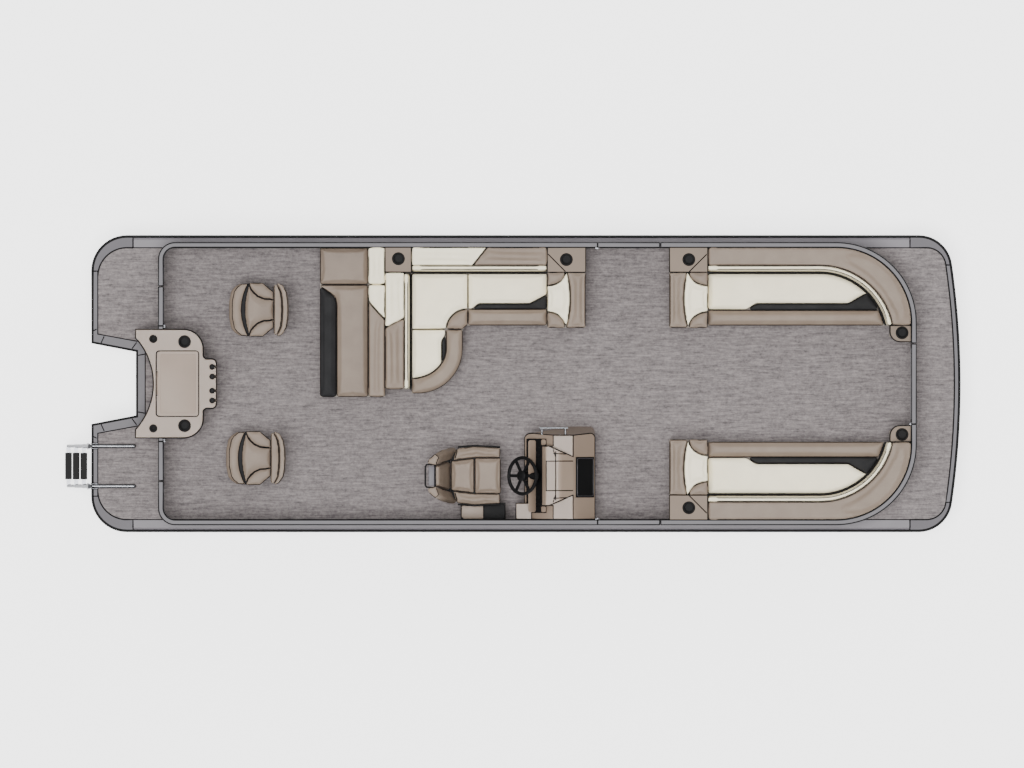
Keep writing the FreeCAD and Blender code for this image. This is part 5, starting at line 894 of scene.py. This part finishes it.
def build_edge():
    """A rub rail all round the deck, into the motor notch, and the bead above it."""
    level = (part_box("side_trims")[0].z + TRIM_TOP) / 2
    notch = [(STERN + NOTCH_DEPTH + RAIL_OUT, NOTCH_WELL - 0.001, level),
             (STERN + RAIL_OUT, NOTCH_MOUTH, level)]
    tube("rub_rail", [both_sides(notch + edge_line(RAIL_OUT, level))], 0.009, "rubber",
         closed=True)
    level = TRIM_TOP - 0.0025
    notch = [(STERN + NOTCH_DEPTH + BEAD_IN, NOTCH_WELL + BEAD_IN, level),
             (STERN + BEAD_IN, NOTCH_MOUTH + BEAD_IN, level)]
    line = edge_line(BEAD_IN, level)
    on_bumper = (HALF_BEAM - 0.0065, TRIM_TOP - 0.018)
    on_cap = (HALF_BEAM - BEAD_IN, level)
    after = EDGE_STEPS + 1
    line[after:after] = [(-3.335, *on_cap), (-3.325, *on_bumper), (3.492, *on_bumper),
                         (3.504, *on_cap)]
    tube("edge_bead", [both_sides(notch + line)], 0.0078, "rubber", closed=True)
    joints = [[(-3.686, 0.462), (-3.639, 0.485)], [(-3.613, 0.354), (-3.585, 0.416)],
              [(-3.339, 0.308), (-3.300, 0.362)], [(-3.300, 0.246), (-3.216, 0.262)]]
    joints += [across(line, -1) for line in joints]
    seams("notch_joints", surface(NODES["stern_trim"]), joints, JOINT_BEAD, "rubber")


def surface(*pieces):
    """A tree that finds the surface of pieces that stand in place."""
    spots, faces = [], []
    for piece in pieces:
        start = len(spots)
        spots += [vertex.co.copy() for vertex in piece.data.vertices]
        faces += [[start + i for i in face.vertices] for face in piece.data.polygons]
    return BVHTree.FromPolygons(spots, faces)


def drop(tree, x, y):
    """Where a line straight down meets a surface, and the surface's normal there."""
    return tree.ray_cast(Vector((x, y, RAY_START)), Vector((0, 0, -1)))[:2]


def dense(line, step=0.014, closed=False):
    """A line in plan with points at even steps."""
    points = []
    pairs = zip(line, line[1:] + line[:1]) if closed else zip(line, line[1:])
    for (x0, y0), (x1, y1) in pairs:
        count = max(1, round(math.hypot(x1 - x0, y1 - y0) / step))
        points += [(x0 + (x1 - x0) * i / count, y0 + (y1 - y0) * i / count)
                   for i in range(count)]
    return points if closed else points + [line[-1]]


def settle(tree, line, sink=0.0, blur=0):
    """Drop a line in plan onto a surface, and even out its height as a closed line."""
    hits = [drop(tree, x, y)[0] for x, y in line]
    kept = [(x, y, hit.z) for (x, y), hit in zip(line, hits) if hit is not None]
    heights = [spot[2] for spot in kept]
    for _ in range(blur):
        heights = [(heights[i - 1] + heights[i] + heights[(i + 1) % len(heights)]) / 3
                   for i in range(len(heights))]
    return [(x, y, height - sink) for (x, y, _), height in zip(kept, heights)]


def build_piping():
    """Piping round the top of each cushion, sewn into its edge."""
    lines = {}
    for piece, _, body, rim in PADS:
        if rim is None:
            continue
        line = settle(surface(piece), dense(rim, closed=True), sink=0.0006, blur=8)
        if len(line) > 3:
            lines.setdefault(body, []).append(line)
    for body, rims in lines.items():
        tube(f"piping_{body}", rims, PIPING, "welt", body, closed=True, detail=1)


def seams(name, tree, lines, radius, material="welt", body="hull", sink=0.0005):
    """Thin lines laid on a surface as one piece."""
    settled = [settle(tree, dense(line), sink) for line in lines]
    tube(name, [line for line in settled if len(line) > 1], radius, material, body, detail=1)


# Beading along the solids' own edges

FENCE_BEAD = 0.0055
TRIM_BEAD = 0.0062
STATION_BEAD = 0.0064
JOINT_BEAD = 0.0052
BOX_BEAD = 0.0040
FLAT = 0.99


def sharp_lines(node, keep, angle):
    """The sharp edges of a CAD node that keep(middle, faces) agrees to, chained into lines."""
    work = bmesh.new()
    work.from_mesh(NODES[node].data)
    bmesh.ops.remove_doubles(work, verts=work.verts, dist=0.00002)
    links = {}
    for edge in work.edges:
        if len(edge.link_faces) != 2 or edge.calc_face_angle(0.0) < math.radians(angle):
            continue
        one, two = edge.verts
        if keep((one.co + two.co) / 2, edge.link_faces):
            links.setdefault(one.index, set()).add(two.index)
            links.setdefault(two.index, set()).add(one.index)
    places = {vertex.index: vertex.co.copy() for vertex in work.verts}
    work.free()
    lines = []
    for start in sorted(links, key=lambda index: (len(links[index]) == 2, index)):
        while links[start]:
            line, spot = [start], start
            while links[spot]:
                after = min(links[spot])
                links[spot].discard(after)
                links[after].discard(spot)
                line.append(after)
                spot = after
                if len(links[spot]) != 1:
                    break
            lines.append([tuple(places[index]) for index in line])
    return lines


def top_edges(level):
    """A test for the edges round a flat top at a level."""
    def keep(middle, faces):
        up = [face.normal.z > FLAT for face in faces]
        return up.count(True) == 1 and abs(middle.z - level) < 0.0012
    return keep


def above(level):
    """A test for the edges above a level that a viewer from above sees."""
    def keep(middle, faces):
        return middle.z > level and any(face.normal.z > 0.3 for face in faces)
    return keep


def gasket(name, nodes, keep, radius, material="rubber", body="hull", angle=20):
    """Dark beading along the sharp edges of CAD nodes, as one piece."""
    lines = []
    for node in nodes:
        lines += sharp_lines(node, keep, angle)
    tube(name, lines, radius, material, body, detail=1)


def build_gaskets():
    rail_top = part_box("fence_aft_port")[1].z
    fences = [f"fence_{end}_{side}" for end in ("aft", "bow") for side, _ in SIDES]
    gasket("fence_beading", fences, top_edges(rail_top), FENCE_BEAD)
    for gate in ("gate_side_port", "gate_side_starboard", "gate_stern_port",
                 "gate_stern_starboard", "gate_bow"):
        gasket(f"{gate}_beading", [gate], top_edges(rail_top), FENCE_BEAD, body=gate)
    top = top_edges(TRIM_TOP)
    gasket("trim_joints", ["bow_trim", "stern_trim", "corner_caps"], top, TRIM_BEAD, angle=3)
    gasket("side_trim_joints", ["side_trims"],
           lambda middle, faces: top(middle, faces) and abs(middle.y) < HALF_BEAM - 0.035,
           TRIM_BEAD, angle=3)
    gasket("station_beading", ["station"], top_edges(STATION_TOP), STATION_BEAD, "welt")
    gasket("pod_beading", ["cup_pods"], above(ARM_TOP - 0.001), JOINT_BEAD, "welt")
    gasket("table_beading", ["cup_pods"], top_edges(TABLE_TOP), JOINT_BEAD, "welt")
    gasket("console_beading", ["console"], above(DECK + 0.50), JOINT_BEAD, "welt", angle=16)
    gasket("side_box_beading", ["side_box"], above(DECK + 0.3), BOX_BEAD, "welt")
    slant = [(1.5506, 0.979), (1.715, 1.143)]
    slants = [slant, across(slant, -1), [(0.316, 1.135), (0.478, 0.972)]]
    seams("pod_seams", surface(NODES["cup_pods"]), slants, JOINT_BEAD)


# Console

PLATE = 0.004
PLATE_SINK = 0.001
GAUGE_X, GAUGE_TILT = 0.232, -47.5
WHEEL_HUB, WHEEL_TILT = (0.092, HELM_Y, 1.612), -41
GAUGE_RIM = [(0.0, 0.0), (0.019, 0.0), (0.020, 0.004), (0.0165, 0.006), (0.0155, 0.003),
             (0.0, 0.003)]
WHEEL_CAP = [(0.002, 0.017), (0.044, 0.017), (0.048, 0.020), (0.044, 0.024), (0.014, 0.029),
             (0.002, 0.029)]
COLUMN_BOOT = [(0.014, -0.050), (0.036, -0.050), (0.041, -0.070), (0.048, -0.120),
               (0.066, -0.140), (0.066, -0.156), (0.014, -0.156)]


def laid_plate(name, outline, tree):
    """A thin plate laid on a flat surface, its outline given in plan."""
    x_mid = sum(x for x, _ in outline) / len(outline)
    y_mid = sum(y for _, y in outline) / len(outline)
    hit, normal = drop(tree, x_mid, y_mid)
    work = bmesh.new()
    foot = []
    for x, y in outline:
        fall = (normal.x * (x - hit.x) + normal.y * (y - hit.y)) / normal.z
        foot.append(work.verts.new(Vector((x, y, hit.z - fall)) - normal * PLATE_SINK))
    push_out(work, foot, normal * (PLATE + PLATE_SINK))
    piece = link_mesh(name, work)
    round_edges(piece, 0.0015, 2)
    dress(smooth(piece), "console_plastic")


def tilted(spot, degrees):
    """A place with a lean about Y."""
    return Matrix.Translation(spot) @ Matrix.Rotation(math.radians(degrees), 4, "Y")


def build_dash():
    """The dash's strip, corner plates and gauges."""
    dash = surface(NODES["dash"])
    laid_plate("dash_strip", rounded(0.143, HELM_Y - 0.318, 0.206, HELM_Y + 0.312, 0.016), dash)
    for word, sign in (("inboard", 1), ("outboard", -1)):
        low, high = sorted((HELM_Y + sign * 0.268, HELM_Y + sign * 0.318))
        laid_plate(f"dash_corner_{word}", rounded(0.258, low, 0.296, high, 0.012), dash)
    for i, offset in enumerate((-0.245, -0.185, 0.185, 0.245)):
        hit = drop(dash, GAUGE_X, HELM_Y + offset)[0]
        gauge = turned(f"gauge_{i}", GAUGE_RIM, ORIGIN, "black_plastic")
        gauge.data.transform(tilted(hit, GAUGE_TILT))


def build_wheel():
    """The wheel's cap and grip, and the boot of its column."""
    cap = turned("wheel_cap", WHEEL_CAP, ORIGIN, "black_plastic", "wheel")
    boot = turned("column_boot", COLUMN_BOOT, ORIGIN, "black_plastic")
    circle = [(x, y, 0.0) for x, y in arc(0, 0, 0.1585, 0.1585, 0, 355, 71)]
    grip = tube("wheel_grip", [circle], 0.0145, "rubber", "wheel", closed=True)
    for piece in (cap, boot, grip):
        piece.data.transform(tilted(WHEEL_HUB, WHEEL_TILT))


def build_cowl():
    """Seams of the cowl and the frame of its panel."""
    side = HELM_Y
    edge_y, cross_x = -0.678, 0.382
    edge = [(0.296, edge_y), (0.533, edge_y)]
    lines = [edge, [(x, 2 * side - y) for x, y in edge], [(0.300, edge_y), (0.300, -0.936)],
             [(cross_x, side + 0.215), (cross_x, side - 0.215)]]
    for sign in (1, -1):
        lines.append([(0.360, side + sign * 0.232), (cross_x, side + sign * 0.165),
                      (cross_x, side + sign * 0.129)])
        lines.append([(0.360, side + sign * 0.196), (0.490, side + sign * 0.190)])
    seams("cowl_lines", surface(NODES["console"]), lines, 0.0048)
    rim = rounded(0.572, -0.984, 0.712, -0.655, 0.012)
    seams("panel_frame", surface(NODES["console_panel"]), [rim + rim[:1]], 0.0020,
          "skin_panel", sink=-0.0005)


def build_side_box():
    """Tray, lid and pad on the box beside the helm seat."""
    low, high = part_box("side_box")
    tray = rounded(low.x + 0.002, low.y + 0.002, high.x - 0.002, high.y - 0.002, 0.006)
    prism("side_box_tray", tray, high.z - 0.001, high.z + 0.003, "black_plastic")
    lid_x, lid_gap = -0.244, 0.010
    lid = rounded(lid_x, low.y + 0.004, high.x - 0.002, high.y - 0.006, 0.014)
    prism("side_box_lid", lid, high.z + 0.002, high.z + 0.014, "black_plastic", round_by=0.003)
    cushion = [(low.x + 0.026, high.y - 0.010), (low.x + 0.008, high.y - 0.030),
               (low.x + 0.008, low.y + 0.026), (low.x + 0.026, low.y + 0.008),
               (lid_x - lid_gap, low.y + 0.008), (lid_x - lid_gap, high.y - 0.010)]
    prism("side_box_pad", cushion, high.z + 0.002, high.z + 0.012, "lid_plastic",
          round_by=0.003)


# Stern station

TOOL_X = -2.626
TOOL_YS = (-0.147, -0.062, 0.062, 0.147)
TOOL_WELL = [(0.0155, -0.120), (0.0185, -0.120), (0.0185, 0.0010), (0.0155, 0.0010)]


def build_station_details():
    low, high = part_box("station_lid")
    panel = rounded(low.x + 0.030, low.y + 0.024, high.x - 0.022, high.y - 0.024, 0.014)
    prism("lid_panel", panel, high.z - 0.001, high.z + 0.003, "lid_plastic", round_by=0.002)
    line = rounded(low.x - 0.004, low.y - 0.004, high.x + 0.004, high.y + 0.004, 0.026)
    seams("lid_seal", surface(NODES["station"]), [line + line[:1]], 0.0055, "rubber",
          sink=-0.002)
    clips = [[(x, y, STATION_TOP + 0.001) for x, y in arc(TOOL_X, middle, 0.0215, 0.0215,
                                                          32, 328, 22)] for middle in TOOL_YS]
    tube("tool_clips", clips, 0.0048, "black_plastic")
    turned("tool_wells", TOOL_WELL, [(TOOL_X, middle, STATION_TOP) for middle in TOOL_YS],
           "black_plastic")


# Camera and studio

PIXEL = 0.00879
FRAME_PIXELS = 1024
LENS, SENSOR = 800.0, 36.0
FLOOR_GLOW = 1.8
WORLD_LIGHT = 0.55
# Name, strength, spread in degrees and turn of each lamp
LAMPS = (("key", 4.3, 20, (0.06, -0.05, 0.0)), ("fill", 0.6, 60, (-0.5, 0.45, 0.0)))


def build_stage():
    work = bmesh.new()
    bmesh.ops.create_grid(work, x_segments=1, y_segments=1, size=150.0)
    floor = link_mesh("floor", work)
    floor.location.z = CAD_BOX[0].z - 0.001
    pale = plain_material("floor_white", (250, 250, 250), 0.9, specular=0.1)
    shader = pale.node_tree.nodes["Principled BSDF"]
    shader.inputs["Emission Color"].default_value = (1, 1, 1, 1)
    shader.inputs["Emission Strength"].default_value = FLOOR_GLOW
    floor.data.materials.append(pale)
    world = bpy.data.worlds.new("studio")
    world.use_nodes = True
    world.node_tree.nodes["Background"].inputs["Color"].default_value = (1, 1, 1, 1)
    world.node_tree.nodes["Background"].inputs["Strength"].default_value = WORLD_LIGHT
    bpy.context.scene.world = world
    for name, strength, spread, turn in LAMPS:
        lamp = bpy.data.lights.new(name, "SUN")
        lamp.energy = strength
        lamp.angle = math.radians(spread)
        link_object(name, lamp).rotation_euler = turn


def build_camera():
    """Straight down with a very long lens, as the drawing has no perspective."""
    data = bpy.data.cameras.new("camera")
    data.lens = LENS
    data.sensor_width = SENSOR
    data.clip_end = 500.0
    camera = link_object("camera", data)
    camera.location = (0.0, -0.003, DECK + FRAME_PIXELS * PIXEL * LENS / SENSOR)
    bpy.context.scene.camera = camera


dress_nodes()
for word, side in SIDES:
    build_bow_lounge(word, side)
build_port_lounge()
build_bench()
for chair in CHAIRS:
    build_chair(*chair)
build_helm_chair()
finish_pads()
build_piping()
build_cups()
build_edge()
build_gaskets()
build_dash()
build_wheel()
build_cowl()
build_side_box()
build_station_details()
build_stage()
build_camera()
bpy.context.view_layer.update()
